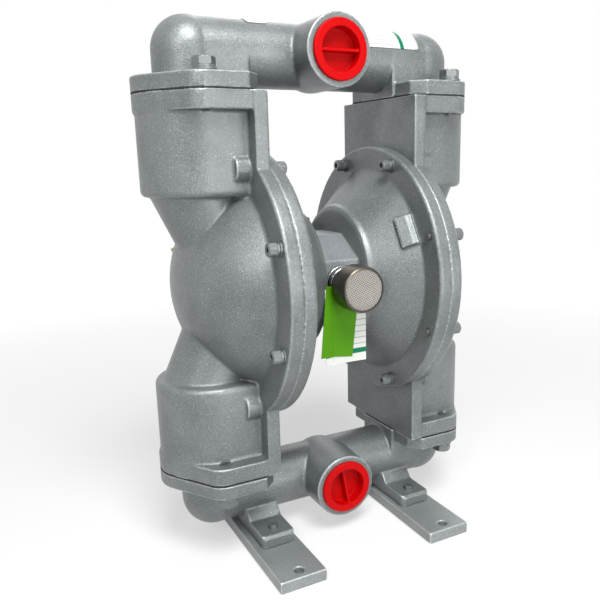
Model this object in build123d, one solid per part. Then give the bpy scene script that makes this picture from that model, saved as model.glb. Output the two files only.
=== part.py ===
# Air operated double diaphragm pump with 1-1/2 inch ports, in millimetres.
# X runs through both diaphragms, the ports face -Y and Z is up.
# The origin lies under the feet, at their middle.
# Every piece is built about the diaphragm axis and lifted to its height when it is written.
# Left is -X. A right piece is built first and its left twin is its mirror image.
from build123d import *
import math
import os

# Whole pump
port_height = 55.0  # inlet port centre above the ground
joint_rise = 195.5  # diaphragm axis to the middle of a manifold gasket
port_lift = 40.5  # port centre beyond the middle of the manifold gasket
rim_x = 84.0  # joint between the fluid cap and the air cap
port_rise = joint_rise + port_lift
axis_height = port_height + port_rise

# Clearances
slip_gap = 0.3  # curved faces that pass each other loosely
running_gap = 0.05  # a shaft in its bush
thread_gap = 0.05  # a screw in its tapped hole
hole_gap = 0.5  # a screw in a plain hole
over = 1.0  # how far a cutter or a buried end runs past a face
tap_run_out = 2.0  # a tapped hole is this much deeper than its screw
tip_back = 1.0  # a bolt's tip stops this short of the far face
same_place = 0.01  # edges this close to a plane lie on it

# Disc flanges and diaphragm
disc_radius = 144.0
disc_edge_round = 2.0
screw_inset = 11.5  # disc edge to bolt circle
rim_inset = 8.5  # bolt circle to diaphragm edge
rim_land = 14.0  # width of the clamped diaphragm rim
fluid_flange = 14.0
air_flange = 14.0
diaphragm_thickness = 4.0
diaphragm_dish = 12.0
bend_land = 3.0  # flat ring of the diaphragm beside each clamped face
plate_radius = 58.0
inner_plate_thickness = 8.0
outer_plate_thickness = 13.0
plate_rim_thickness = 4.0
plate_edge_break = 1.0
inner_plate_back_radius = 46.0
outer_plate_nose_radius = 29.0
diaphragm_radius = disc_radius - screw_inset - rim_inset
opening_radius = diaphragm_radius - rim_land
screw_circle = disc_radius - screw_inset

# Fluid cap
dome_reach = 165.0  # outermost point of the dome
dome_wall = 6.5
back_plate_half_width = 76.0
chamber_x = 132.5
chamber_radius = 58.0
chamber_length = 81.0  # from the flange to the chamber's free edge
chamber_edge_round = 6.0
neck_slope = 25.0  # degrees from vertical
neck_radius = 45.0
neck_wall = 12.0
boss_radius = 14.0
boss_length = 16.0
boss_floor = 4.0
casing_flange = 18.0

# Manifolds
manifold_flange = 15.0
flange_half_width = 74.5
flange_inner_x = 87.0
flange_chamfer = 14.0
flange_corner_x = 152.3
flange_corner_round = 20.0
flange_reach = 193.0
nose_radius = 38.0
pipe_radius = 33.0
pipe_wall = 7.0
elbow_x = 137.0
elbow_radius = 34.0
elbow_wall = 7.0
tee_radius = 36.0
port_face = 65.0  # distance of the port face from the diaphragm axis plane
port_thread_radius = 22.45  # minor radius of the 1-1/2 inch pipe thread
port_thread_length = 22.0
port_mouth_radius = 24.4
port_mouth_depth = 12.0
port_bore_radius = 21.0  # from the thread to the middle of the pipe
gasket_thickness = 1.2

# Valves
valve_bore_radius = 41.5
ball_radius = 26.0
seat_thickness = 12.0
seat_bore_radius = 21.0
seat_lip = 8.0  # height of the sealing edge above the seat's underside
cage_height = 60.0
cage_ring = 8.0
cage_wall = 6.0
cage_fin = 5.0
cage_guide_gap = 1.0
cage_stop_reach = 8.0  # how near the middle the stop fingers come
floor_passage_radius = 33.0
seal_cord = 3.5
seal_radius = 34.0

# Air cap
cap_end_x = 23.5
cap_end_radius = 80.0
cap_cone_x = 30.0
cap_wall = 7.0
cap_rim_radius = opening_radius + cap_wall
cap_edge_round = 6.0
lug_angle = 60.0  # degrees from vertical, towards the ports
lug_width = 34.0
lug_length = 19.0  # down the cone
lug_place = 2.0  # down the cone from the flange
lug_height = 4.5
lug_step = 5.0  # length of the lower ledge beside the flange
lug_step_height = 3.3

# Centre body and rod
body_gasket = 0.6
body_front = 60.0
body_front_half_height = 24.5
body_top = 49.0
body_top_half_width = 22.0
body_neck_half_height = 42.0
valve_flange = 8.0
valve_flange_back = 98.0
rod_radius = 11.0
rod_chamfer = 1.0
rod_bush_radius = 15.0
bush_start = 4.0
bush_end = 16.0
plate_screw_radius = 6.0
plate_screw_depth = 24.0
plate_head = 8.0
plate_head_flats = 18.0
pilot_rise = 26.0
pilot_radius = 4.0
pilot_bush_radius = 7.0
pilot_bush_start = 8.0
rod_stroke = 18.0
pilot_stroke = 4.0
air_hole_radius = 5.0
air_hole_y = 30.0
air_hole_rise = 34.0
air_way_x = 16.0
air_way_radius = 4.0
exhaust_radius = 6.0
cap_screw_y = 44.0
cap_screw_rise = 20.0
body_screw_tip = 9.0  # distance of the body screws' tips from the middle

# Air valve
valve_half_length = 38.0
valve_half_height = 58.0
valve_depth = 36.0
valve_gasket = 1.5
valve_inset = 1.0  # the flange, gasket and end caps stand back from the block's faces
valve_corner_round = 3.0
sleeve_radius = 13.0
spool_radius = 9.0
spool_half_length = 30.0
spool_groove_radius = 6.0
spool_groove_from = 9.0
spool_groove_to = 22.0
end_cap_thickness = 7.0
air_inlet_radius = 9.3  # minor radius of the 1/2 inch pipe thread
air_inlet_length = 15.0
valve_bolt_x = 30.0
valve_bolt_rise = 48.0
end_screw_y = 13.0
end_screw_rise = 22.0
end_screw_radius = 2.5
end_screw_head = 5.0
end_screw_head_radius = 4.5
end_screw_depth = 14.0

# Muffler and hang cards
muffler_thread_radius = 13.0
muffler_thread_length = 16.0
muffler_port_depth = 25.0
muffler_neck_radius = 16.0
ring_radius = 20.0
ring_thickness = 5.0
ring_gap = 2.0
ring_count = 2
ring_edge_round = 1.5
card_slot = 7.0  # bare neck between the rings and the muffler
card_place = 5.2  # back of the first card from the last ring
muffler_radius = 24.0
muffler_length = 31.0
muffler_wall = 1.5
muffler_front_round = 3.0
mesh_thickness = 1.0
core_radius = 16.0
core_bore_radius = 10.0
card_thickness = 0.6
card_bend_x = -19.0  # left of this line the cards bend forward to clear the air cap
card_bend_slope = 19.5  # degrees
card_reach = 60.0  # the strip that the cards are cut from ends this far to the left
card_top_drop = 1.0
white_card_left = -31.0
white_card_right = 20.5
white_card_drop = 84.0
green_card_left = -29.2
green_card_right = 12.4
green_card_drop = 77.0
green_card_tilt = 7.0

# Port plugs
plug_flange_radius = 30.0
plug_flange = 4.0
plug_recess_radius = 21.5
plug_floor = 2.0
plug_bar = 3.0
plug_bar_inset = 3.0
plug_end_gap = 1.0
plug_edge_round = 1.5
inlet_plug_turn = 80.0

# Feet
foot_x = 91.0
foot_width = 52.0
foot_half_length = 140.0
foot_thickness = 13.0
foot_hole_radius = 5.5
foot_hole_y = 127.4
pad_x = 90.0
pad_width = 38.0
pad_half_length = 77.0
pad_thickness = 14.0
pad_corner = 3.0
pad_edge_round = 5.0
web_foot = 40.0  # where the sloped web meets the pad
web_top = 25.0
web_rise = 17.0
pad_bolt_y = 60.0

# Fasteners
manifold_bolt_radius = 6.0
manifold_bolt_x = 139.6
manifold_bolt_y = 61.0
manifold_bolt_flats = 19.0
manifold_bolt_head = 7.5
manifold_washer_radius = 12.0
manifold_washer = 2.2
manifold_spring_radius = 10.5
manifold_spring = 2.6
foot_bolt_radius = 3.0
foot_bolt_flats = 10.0
foot_bolt_head = 4.0
cap_screw_radius = 4.0
cap_screw_head_radius = 6.5
cap_screw_head = 8.0
cap_screw_flats = 6.0
cap_screw_socket = 4.0
cap_screw_head_chamfer = 0.8
cap_screw_tip_chamfer = 1.0
flat_washer_radius = 8.0
flat_washer = 2.0
spring_washer_radius = 7.0
spring_washer = 2.6
washer_split = 1.2
screw_step = 45.0  # angle between disc screws
tip_reach = 3.0  # how far a side screw's tip stands out of the air cap
terminal_radius = 8.0
terminal_bend_drop = 11.0
terminal_drop = 26.0
terminal_reach = 30.0
terminal_barrel_radius = 2.6
terminal_sleeve_radius = 4.5
terminal_sleeve_length = 22.0
terminal_sleeve_end = 2.0  # closed end of the sleeve beyond the barrel

# Heights that follow from the sizes above, from the diaphragm axis
casing_face = joint_rise - gasket_thickness / 2
manifold_face = joint_rise + gasket_thickness / 2
valve_stack = seat_thickness + cage_height
valve_ledge = manifold_face - valve_stack
chamber_bottom = casing_face - casing_flange - chamber_length
flange_top = manifold_face + manifold_flange
ground = -axis_height
body_half_length = cap_end_x - body_gasket
valve_front = valve_flange_back + valve_gasket
valve_back = valve_front + valve_depth
spool_y = valve_front + valve_depth / 2
washer_stack = flat_washer + spring_washer


def cyl_x(radius, x_from, x_to, y=0.0, z=0.0):
    return Pos((x_from + x_to) / 2, y, z) * Rot(0, 90, 0) * Cylinder(radius, abs(x_to - x_from))


def cyl_y(radius, y_from, y_to, x=0.0, z=0.0):
    return Pos(x, (y_from + y_to) / 2, z) * Rot(90, 0, 0) * Cylinder(radius, abs(y_to - y_from))


def cyl_z(radius, z_from, z_to, x=0.0, y=0.0):
    return Pos(x, y, (z_from + z_to) / 2) * Cylinder(radius, abs(z_to - z_from))


def block(x_from, x_to, y_from, y_to, z_from, z_to):
    middle = ((x_from + x_to) / 2, (y_from + y_to) / 2, (z_from + z_to) / 2)
    return Pos(*middle) * Box(abs(x_to - x_from), abs(y_to - y_from), abs(z_to - z_from))


def hexagon_prism(flats, height):
    # Stands on the XY plane
    return extrude(RegularPolygon(flats / 2, 6, major_radius=False), height)


def spun(points):
    # A ring turned about X from a closed outline of (x, radius) points
    profile = make_face(Polyline(*[(x, 0, r) for x, r in points], close=True))
    return revolve(profile, Axis.X)


def left_of(shape):
    return mirror(shape, about=Plane.YZ)


def below(shape):
    return mirror(shape, about=Plane.XY)


def group(solids):
    return Compound(children=list(solids))


# Fluid caps


def dome(wall):
    # Part of a ball that passes through the diaphragm opening and the inner apex, made larger by wall
    depth = dome_reach - dome_wall - rim_x
    inner_radius = (depth**2 + opening_radius**2) / (2 * depth)
    centre_x = rim_x + depth - inner_radius
    radius = inner_radius + wall
    base = math.sqrt(radius**2 - (rim_x - centre_x) ** 2)
    halfway = math.atan2(base, rim_x - centre_x) / 2
    apex, rim = (centre_x + radius, 0, 0), (rim_x, 0, base)
    between = (centre_x + radius * math.cos(halfway), 0, radius * math.sin(halfway))
    lines = ThreePointArc(apex, between, rim) + Line(rim, (rim_x, 0, 0)) + Line((rim_x, 0, 0), apex)
    return revolve(make_face(lines.edges()), Axis.X)


def neck_rod(radius, start):
    # A round bar through the middle of the chamber's floor, leaning inwards as it goes down
    slope = math.radians(neck_slope)
    along = Plane(origin=(chamber_x, 0, chamber_bottom), z_dir=(-math.sin(slope), 0, -math.cos(slope)))
    return along * cyl_z(radius, start, chamber_bottom)


def valve_chamber():
    height = casing_face - chamber_bottom
    back = block(rim_x, chamber_x, -chamber_radius, chamber_radius, chamber_bottom, casing_face)
    outer = back + cyl_z(chamber_radius, chamber_bottom, casing_face, chamber_x)
    lower_rim = [e for e in outer.edges() if abs(e.center().Z - chamber_bottom) < same_place]
    free_rim = [e for e in lower_rim if e.center().X > rim_x + over]
    return fillet(free_rim, min(chamber_edge_round, height / 4))


def flange_plan(inner_x, chamfer):
    # Straight sides, then slanted sides that run tangent into a round nose
    nose_x = flange_reach - nose_radius
    corner = (flange_corner_x, flange_half_width)
    away = math.hypot(corner[0] - nose_x, corner[1])
    turn = math.atan2(corner[1], corner[0] - nose_x) - math.acos(nose_radius / away)
    touch = (nose_x + nose_radius * math.cos(turn), nose_radius * math.sin(turn))
    upper = [(inner_x, flange_half_width - chamfer), (inner_x + chamfer, flange_half_width)]
    if chamfer == 0:
        upper = [(inner_x, flange_half_width)]
    upper += [corner, touch]
    lower = [(x, -y) for x, y in reversed(upper)]
    lines = Polyline(*upper) + ThreePointArc(touch, (flange_reach, 0), lower[0])
    lines += Polyline(*lower) + Line(lower[-1], upper[0])
    plan = make_face(lines.edges())
    outer = [v for v in plan.vertices() if abs(v.X - flange_corner_x) < same_place]
    return fillet(outer, flange_corner_round)


def flange_plate(inner_x, chamfer, z_from, z_to):
    return Pos(0, 0, z_from) * extrude(flange_plan(inner_x, chamfer), z_to - z_from)


def manifold_bolt_places():
    return [(manifold_bolt_x, manifold_bolt_y), (manifold_bolt_x, -manifold_bolt_y)]


def around_disc(side_screws):
    # (y, z) of the disc screws: the four at the sides, or the four near top and bottom
    first = 1.5 * screw_step if side_screws else 0.5 * screw_step
    angles = [first, 180 - first, 180 + first, 360 - first]
    turns = [math.radians(a) for a in angles]
    return [(screw_circle * math.sin(t), screw_circle * math.cos(t)) for t in turns]


def upper_casing():
    # Chamber, neck and flange above the axis
    shape = valve_chamber() + neck_rod(neck_radius, -neck_radius / 2)
    return shape + flange_plate(rim_x, 0, casing_face - casing_flange, casing_face)


def upper_casing_cut():
    bore = cyl_z(valve_bore_radius, valve_ledge, casing_face + over, chamber_x)
    passage = neck_rod(neck_radius - neck_wall, 0)
    turn = Pos(chamber_x, 0, chamber_bottom) * Sphere(neck_radius - neck_wall)
    throat = cyl_z(floor_passage_radius, chamber_bottom, valve_ledge + over, chamber_x)
    cut = bore + throat + turn + passage
    for x, y in manifold_bolt_places():
        low = casing_face - casing_flange
        cut += cyl_z(manifold_bolt_radius + thread_gap, low, casing_face + over, x, y)
    return cut


def fluid_cap():
    outer_x = rim_x + fluid_flange
    disc = cyl_x(disc_radius, rim_x, outer_x)
    outer_edge = [e for e in disc.edges() if abs(e.center().X - outer_x) < same_place]
    shape = fillet(outer_edge, disc_edge_round)
    width = back_plate_half_width
    shape += block(rim_x, outer_x, -width, width, -casing_face, casing_face)
    shape += dome(dome_wall)
    top = upper_casing()
    shape += top + below(top)
    for y, z in around_disc(side_screws=False):
        shape += cyl_x(boss_radius, rim_x, outer_x + boss_length, y, z)
    shape -= block(-chamber_x, rim_x, -disc_radius, disc_radius, -casing_face, casing_face)
    shape -= dome(0)
    cut = upper_casing_cut()
    shape -= cut & block(rim_x, flange_reach, -disc_radius, disc_radius, 0, casing_face + over)
    shape -= below(cut) & block(rim_x, flange_reach, -disc_radius, disc_radius, -casing_face - over, 0)
    shape -= cyl_x(diaphragm_radius + slip_gap, rim_x, rim_x + diaphragm_thickness / 2)
    for y, z in around_disc(side_screws=False):
        shape -= cyl_x(cap_screw_radius + thread_gap, rim_x, outer_x + boss_length - boss_floor, y, z)
    for y, z in around_disc(side_screws=True):
        shape -= cyl_x(cap_screw_radius + hole_gap, rim_x, outer_x, y, z)
    return shape


# Air caps


def cone_lug():
    # A stepped pad that lies on the cone, at the top of the cap
    down_x, down_r = cap_cone_x - (rim_x - air_flange), cap_end_radius - cap_rim_radius
    rim_corner = (rim_x - air_flange, 0, cap_rim_radius)
    on_cone = Plane(origin=rim_corner, x_dir=(down_x, 0, down_r), z_dir=(down_r, 0, -down_x))
    half, root, end = lug_width / 2, -cap_wall / 2, lug_place + lug_length
    ledge = block(lug_place, end, -half, half, root, lug_step_height)
    return on_cone * (ledge + block(lug_place + lug_step, end, -half, half, root, lug_height))


def air_cap():
    inner_x = rim_x - air_flange
    floor_x = cap_end_x + cap_wall
    lip = cap_edge_round
    outline = [
        (cap_end_x, rod_radius + slip_gap),
        (cap_end_x, cap_end_radius - lip),
        (cap_end_x + lip * (1 - math.sqrt(0.5)), cap_end_radius - lip * (1 - math.sqrt(0.5))),
        (cap_cone_x, cap_end_radius),
        (inner_x, cap_rim_radius),
        (inner_x, disc_radius - disc_edge_round),
        (inner_x + disc_edge_round, disc_radius),
        (rim_x, disc_radius),
        (rim_x, diaphragm_radius + slip_gap),
        (rim_x - diaphragm_thickness / 2, diaphragm_radius + slip_gap),
        (rim_x - diaphragm_thickness / 2, opening_radius),
        (inner_x, cap_rim_radius - cap_wall),
        (floor_x, cap_end_radius - cap_wall),
        (floor_x, rod_radius + slip_gap),
    ]
    shape = spun(outline)
    shape += Rot(lug_angle, 0, 0) * cone_lug()
    shape -= cyl_x(pilot_radius + hole_gap, cap_end_x, floor_x, 0, pilot_rise)
    shape -= cyl_x(air_hole_radius, cap_end_x, floor_x, air_hole_y, air_hole_rise)
    for y, z in body_screw_places():
        shape -= cyl_x(cap_screw_radius + hole_gap, cap_end_x, floor_x, y, z)
    for y, z in around_disc(side_screws=False):
        shape -= cyl_x(cap_screw_radius + hole_gap, inner_x, rim_x, y, z)
    for y, z in around_disc(side_screws=True):
        shape -= cyl_x(cap_screw_radius + thread_gap, inner_x, rim_x, y, z)
    return shape


# Diaphragms, plates and rod


def diaphragm():
    half = diaphragm_thickness / 2
    near, far = rim_x - half, rim_x + half
    bend_in, bend_out = plate_radius + bend_land, opening_radius - bend_land
    middle = (bend_in + bend_out) / 2
    hole = plate_screw_radius + slip_gap
    lower = [(near, 0, hole), (near, 0, bend_in)]
    upper = [(far, 0, bend_in), (far, 0, hole)]
    lines = Polyline(*lower)
    lines += ThreePointArc(lower[1], (near - diaphragm_dish, 0, middle), (near, 0, bend_out))
    lines += Polyline((near, 0, bend_out), (near, 0, diaphragm_radius), (far, 0, diaphragm_radius))
    lines += Line((far, 0, diaphragm_radius), (far, 0, bend_out))
    lines += ThreePointArc((far, 0, bend_out), (far - diaphragm_dish, 0, middle), upper[0])
    lines += Line(*upper) + Line(upper[1], lower[0])
    return revolve(make_face(lines.edges()), Axis.X)


def inner_plate():
    face = rim_x - diaphragm_thickness / 2
    back = face - inner_plate_thickness
    hole = plate_screw_radius + slip_gap
    edge = plate_edge_break
    outline = [(face, hole), (face, plate_radius - edge), (face - edge, plate_radius)]
    outline += [(face - plate_rim_thickness, plate_radius), (back, inner_plate_back_radius), (back, hole)]
    return spun(outline)


def outer_plate():
    face = rim_x + diaphragm_thickness / 2
    front = face + outer_plate_thickness
    hole = plate_screw_radius + slip_gap
    edge = plate_edge_break
    outline = [(face, hole), (face, plate_radius - edge), (face + edge, plate_radius)]
    outline += [(face + plate_rim_thickness, plate_radius), (front, outer_plate_nose_radius), (front, hole)]
    return spun(outline)


def rod_end():
    return rim_x - diaphragm_thickness / 2 - inner_plate_thickness


def plate_screw():
    head_x = rim_x + diaphragm_thickness / 2 + outer_plate_thickness
    shank = cyl_x(plate_screw_radius, rod_end() - plate_screw_depth, head_x)
    return shank + Pos(head_x, 0, 0) * Rot(0, 90, 0) * hexagon_prism(plate_head_flats, plate_head)


def connecting_rod():
    end = rod_end()
    rod = cyl_x(rod_radius, -end, end)
    rod = chamfer(rod.edges().filter_by(GeomType.CIRCLE), rod_chamfer)
    for side in (1, -1):
        tap_end = end - plate_screw_depth - tap_run_out
        rod -= cyl_x(plate_screw_radius + thread_gap, side * tap_end, side * end)
    return rod


def pilot_half_length():
    # The inner plate meets the rod's tip when both reach the end of their travel
    return rod_end() - rod_stroke + pilot_stroke - slip_gap


def pilot_rod():
    end = pilot_half_length()
    rod = cyl_x(pilot_radius, -end, end, 0, pilot_rise)
    return chamfer(rod.edges().filter_by(GeomType.CIRCLE), rod_chamfer)


def tube_x(outer, inner, x_from, x_to, y=0.0, z=0.0):
    return cyl_x(outer, x_from, x_to, y, z) - cyl_x(inner, x_from, x_to, y, z)


def rod_bush():
    return tube_x(rod_bush_radius, rod_radius + running_gap, bush_start, bush_end)


def rod_seal():
    return tube_x(rod_bush_radius, rod_radius + running_gap, bush_end, cap_end_x)


def pilot_bush():
    return tube_x(pilot_bush_radius, pilot_radius + running_gap, pilot_bush_start, cap_end_x, 0, pilot_rise)


# Centre body


def body_screw_places():
    return [(y, z) for y in (cap_screw_y, -cap_screw_y) for z in (cap_screw_rise, -cap_screw_rise)]


def body_slice(x_from, x_to):
    # The body's section seen along X: a flat front, sloped shoulders and a neck to the valve flange
    front, low, top, half = body_front, body_front_half_height, body_top, body_top_half_width
    upper = [(-front, -low), (-front, low), (-half, top), (half, top), (front, body_neck_half_height)]
    lower = [(front, -body_neck_half_height), (half, -top), (-half, -top)]
    face = make_face(Polyline(*[(x_from, y, z) for y, z in upper + lower], close=True))
    return extrude(face, x_to - x_from, dir=(1, 0, 0))


def center_body():
    half = body_half_length
    neck_start = valve_flange_back - valve_flange
    shape = body_slice(-half, half)
    rise = body_neck_half_height
    shape += block(-half, half, body_front - over, valve_flange_back, -rise, rise)
    reach, height = valve_half_length - valve_inset, valve_half_height
    shape += block(-reach, reach, neck_start, valve_flange_back, -height, height)
    shape -= cyl_x(rod_radius + 2 * hole_gap, -half, half)
    shape -= cyl_x(pilot_radius + 2 * hole_gap, -half, half, 0, pilot_rise)
    for side in (1, -1):
        shape -= cyl_x(rod_bush_radius, side * bush_start, side * half)
        shape -= cyl_x(pilot_bush_radius, side * pilot_bush_start, side * half, 0, pilot_rise)
        shape -= cyl_x(air_hole_radius, side * air_way_x, side * half, air_hole_y, air_hole_rise)
        shape -= cyl_y(air_way_radius, air_hole_y, valve_flange_back, side * air_way_x, air_hole_rise)
        for y, z in body_screw_places():
            tap_end = body_screw_tip - tap_run_out
            shape -= cyl_x(cap_screw_radius + thread_gap, side * tap_end, side * half, y, z)
        for z in (valve_bolt_rise, -valve_bolt_rise):
            x = side * valve_bolt_x
            shape -= cyl_y(cap_screw_radius + thread_gap, neck_start, valve_flange_back, x, z)
    port_end = -body_front + muffler_port_depth
    shape -= cyl_y(muffler_thread_radius + thread_gap, -body_front, port_end)
    down_y = port_end - 2 * exhaust_radius
    shape -= cyl_z(exhaust_radius - over, -air_hole_rise, 0, 0, down_y)
    shape -= cyl_y(exhaust_radius, down_y - exhaust_radius, valve_flange_back, 0, -air_hole_rise)
    return shape


def body_gasket_ring():
    shape = body_slice(body_half_length, cap_end_x)
    shape -= cyl_x(rod_bush_radius + slip_gap, body_half_length, cap_end_x)
    shape -= cyl_x(pilot_bush_radius + slip_gap, body_half_length, cap_end_x, 0, pilot_rise)
    shape -= cyl_x(air_hole_radius, body_half_length, cap_end_x, air_hole_y, air_hole_rise)
    for y, z in body_screw_places():
        shape -= cyl_x(cap_screw_radius + hole_gap, body_half_length, cap_end_x, y, z)
    return shape


# Manifolds


def outlet_half():
    # Elbow, its wall down to the flange, and the flange, on the right
    height = port_rise
    shape = Pos(elbow_x, 0, height) * Sphere(elbow_radius)
    shape += cyl_z(elbow_radius, manifold_face, height, elbow_x)
    shape += block(rim_x, elbow_x, -pipe_radius, pipe_radius, manifold_face, height)
    return shape + flange_plate(flange_inner_x, flange_chamfer, manifold_face, flange_top)


def manifold_cut():
    bore = pipe_radius - pipe_wall
    elbow_bore = elbow_radius - elbow_wall
    cut = cyl_x(bore, -elbow_x, elbow_x, 0, port_rise)
    for side in (1, -1):
        cut += Pos(side * elbow_x, 0, port_rise) * Sphere(elbow_bore)
        cut += cyl_z(elbow_bore, manifold_face - over, port_rise, side * elbow_x)
        for x, y in manifold_bolt_places():
            low, high = manifold_face - over, flange_top + over
            cut += cyl_z(manifold_bolt_radius + hole_gap, low, high, side * x, y)
    thread_start = -port_face + port_mouth_depth
    cut += cyl_y(port_mouth_radius, -port_face - over, thread_start, 0, port_rise)
    cut += cyl_y(port_thread_radius, thread_start, thread_start + port_thread_length, 0, port_rise)
    return cut + cyl_y(port_bore_radius, thread_start, 0, 0, port_rise)


def manifold_outside():
    half = outlet_half()
    shape = half + left_of(half) + cyl_x(pipe_radius, -elbow_x, elbow_x, 0, port_rise)
    tee = cyl_y(tee_radius, -port_face, 0, 0, port_rise) + Pos(0, 0, port_rise) * Sphere(tee_radius)
    return shape + tee


def outlet_manifold():
    return manifold_outside() - manifold_cut()


def foot_pad():
    # A pad along Y under the inlet pipe, with a sloped web up to the pipe on both sides
    low = ground + foot_thickness
    top = low + pad_thickness
    end, corner = pad_half_length, pad_corner
    half = [(end, low), (end, top - corner), (end - corner, top), (web_foot, top), (web_top, top + web_rise)]
    outline = half + [(-y, z) for y, z in reversed(half)]
    x_from = pad_x - pad_width / 2
    face = make_face(Polyline(*[(x_from, y, z) for y, z in outline], close=True))
    pad = extrude(face, pad_width, dir=(1, 0, 0))
    uprights = [e for e in pad.edges().filter_by(Axis.Z) if abs(e.center().Y) > pad_half_length - same_place]
    return fillet(uprights, pad_edge_round)


def inlet_manifold():
    pad = foot_pad()
    shape = below(manifold_outside()) + pad + left_of(pad)
    shape -= below(manifold_cut())
    low = ground + foot_thickness
    for x in (pad_x, -pad_x):
        for y in (pad_bolt_y, -pad_bolt_y):
            shape -= cyl_z(foot_bolt_radius + hole_gap, low, low + pad_thickness, x, y)
    return shape


def flange_gasket():
    shape = flange_plate(flange_inner_x, flange_chamfer, casing_face, manifold_face)
    shape -= cyl_z(valve_bore_radius + slip_gap, casing_face, manifold_face, chamber_x)
    for x, y in manifold_bolt_places():
        shape -= cyl_z(manifold_bolt_radius + hole_gap, casing_face, manifold_face, x, y)
    return shape


# Valves. Each is built with its seat's underside at height 0 and its middle on Z.


def ball_centre():
    reach = ball_radius + slip_gap
    return seat_lip + math.sqrt(reach**2 - seat_bore_radius**2)


def valve_seat():
    radius = valve_bore_radius - slip_gap
    seat = cyl_z(radius, 0, seat_thickness) - cyl_z(seat_bore_radius, 0, seat_thickness)
    seat -= Pos(0, 0, ball_centre()) * Sphere(ball_radius + slip_gap)
    groove = cyl_z(seal_radius + seal_cord / 2, 0, seal_cord)
    groove -= cyl_z(seal_radius - seal_cord / 2, 0, seal_cord)
    return seat - groove


def seat_seal():
    # Kept a hair inside its groove so that it only touches the floor
    return Pos(0, 0, seal_cord / 2) * Torus(seal_radius, seal_cord / 2 - thread_gap)


def valve_ball():
    return Pos(0, 0, ball_centre()) * Sphere(ball_radius)


def valve_cage():
    radius = valve_bore_radius - slip_gap
    inner = radius - cage_wall
    guide = ball_radius + cage_guide_gap
    low, high = seat_thickness, seat_thickness + cage_height
    rings = cyl_z(radius, low, high) - cyl_z(inner, low, high)
    rings -= cyl_z(radius + over, low + cage_ring, high - cage_ring)
    fin = block(guide, radius - over, -cage_fin / 2, cage_fin / 2, low, high)
    fin += block(cage_stop_reach, radius - over, -cage_fin / 2, cage_fin / 2, high - cage_ring, high)
    for turn in range(4):
        rings += Rot(0, 0, 45 + 90 * turn) * fin
    return rings


def outlet_valve(piece):
    return Pos(chamber_x, 0, valve_ledge) * piece


def inlet_valve(piece):
    return Pos(chamber_x, 0, -manifold_face) * piece


# Air valve at the back


def valve_bolt_places():
    return [(x, z) for x in (valve_bolt_x, -valve_bolt_x) for z in (valve_bolt_rise, -valve_bolt_rise)]


def valve_gasket_plate():
    reach, height = valve_half_length - valve_inset, valve_half_height
    shape = block(-reach, reach, valve_flange_back, valve_front, -height, height)
    for x, z in valve_bolt_places():
        shape -= cyl_y(cap_screw_radius + hole_gap, valve_flange_back, valve_front, x, z)
    for x in (air_way_x, -air_way_x):
        shape -= cyl_y(air_way_radius, valve_flange_back, valve_front, x, air_hole_rise)
    return shape - cyl_y(exhaust_radius, valve_flange_back, valve_front, 0, -air_hole_rise)


def end_screw_places():
    return [(spool_y + y, z) for y in (end_screw_y, -end_screw_y) for z in (end_screw_rise, -end_screw_rise)]


def valve_block():
    reach, height = valve_half_length, valve_half_height
    shape = block(-reach, reach, valve_front, valve_back, -height, height)
    shape = fillet(shape.edges().filter_by(Axis.X), valve_corner_round)
    shape -= cyl_x(sleeve_radius, -reach, reach, spool_y)
    shape -= cyl_z(air_inlet_radius, height - air_inlet_length, height, 0, spool_y)
    shape -= cyl_z(exhaust_radius, 0, height, 0, spool_y)
    shape -= cyl_z(exhaust_radius, -air_hole_rise, 0, 0, spool_y)
    shape -= cyl_y(exhaust_radius, valve_front, spool_y, 0, -air_hole_rise)
    for side in (1, -1):
        x = side * air_way_x
        shape -= cyl_z(air_way_radius, 0, air_hole_rise, x, spool_y)
        shape -= cyl_y(air_way_radius, valve_front, spool_y, x, air_hole_rise)
        for y, z in end_screw_places():
            deep = side * (valve_half_length - end_screw_depth - tap_run_out)
            shape -= cyl_x(end_screw_radius + thread_gap, deep, side * valve_half_length, y, z)
    for x, z in valve_bolt_places():
        shape -= cyl_y(cap_screw_radius + hole_gap, valve_front, valve_back, x, z)
    return shape


def valve_sleeve():
    wall = sleeve_radius - 2 * thread_gap
    shape = tube_x(wall, spool_radius + running_gap, -valve_half_length, valve_half_length, spool_y)
    for x in (air_way_x, 0, -air_way_x):
        shape -= cyl_z(air_way_radius, 0, sleeve_radius + over, x, spool_y)
    return shape - cyl_z(air_way_radius, -sleeve_radius - over, 0, 0, spool_y)


def valve_spool():
    spool = cyl_x(spool_radius, -spool_half_length, spool_half_length, spool_y)
    for side in (1, -1):
        near, far = side * spool_groove_from, side * spool_groove_to
        spool -= tube_x(spool_radius + over, spool_groove_radius, near, far, spool_y)
    return spool


def valve_end_cap():
    far = valve_half_length + end_cap_thickness
    front, back = valve_front + valve_inset, valve_back - valve_inset
    shape = block(valve_half_length, far, front, back, -valve_half_height, valve_half_height)
    shape = fillet(shape.edges().filter_by(Axis.X), valve_corner_round)
    for y, z in end_screw_places():
        shape -= cyl_x(end_screw_radius + hole_gap, valve_half_length, far, y, z)
    return shape


# Muffler and cards


def ring_stack_end():
    return body_front + ring_count * ring_thickness + (ring_count - 1) * ring_gap


def muffler_back():
    return ring_stack_end() + card_slot


def muffler_fitting():
    inside = -body_front + muffler_thread_length
    neck_end = -muffler_back() - ring_thickness
    shape = cyl_y(muffler_thread_radius, inside, -body_front)
    shape += cyl_y(muffler_neck_radius, -body_front, neck_end)
    for index in range(ring_count):
        near = body_front + index * (ring_thickness + ring_gap)
        ring = cyl_y(ring_radius - index, -near, -near - ring_thickness)
        shape += fillet(ring.edges().filter_by(GeomType.CIRCLE), ring_edge_round)
    return shape - cyl_y(core_bore_radius, inside, neck_end)


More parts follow.
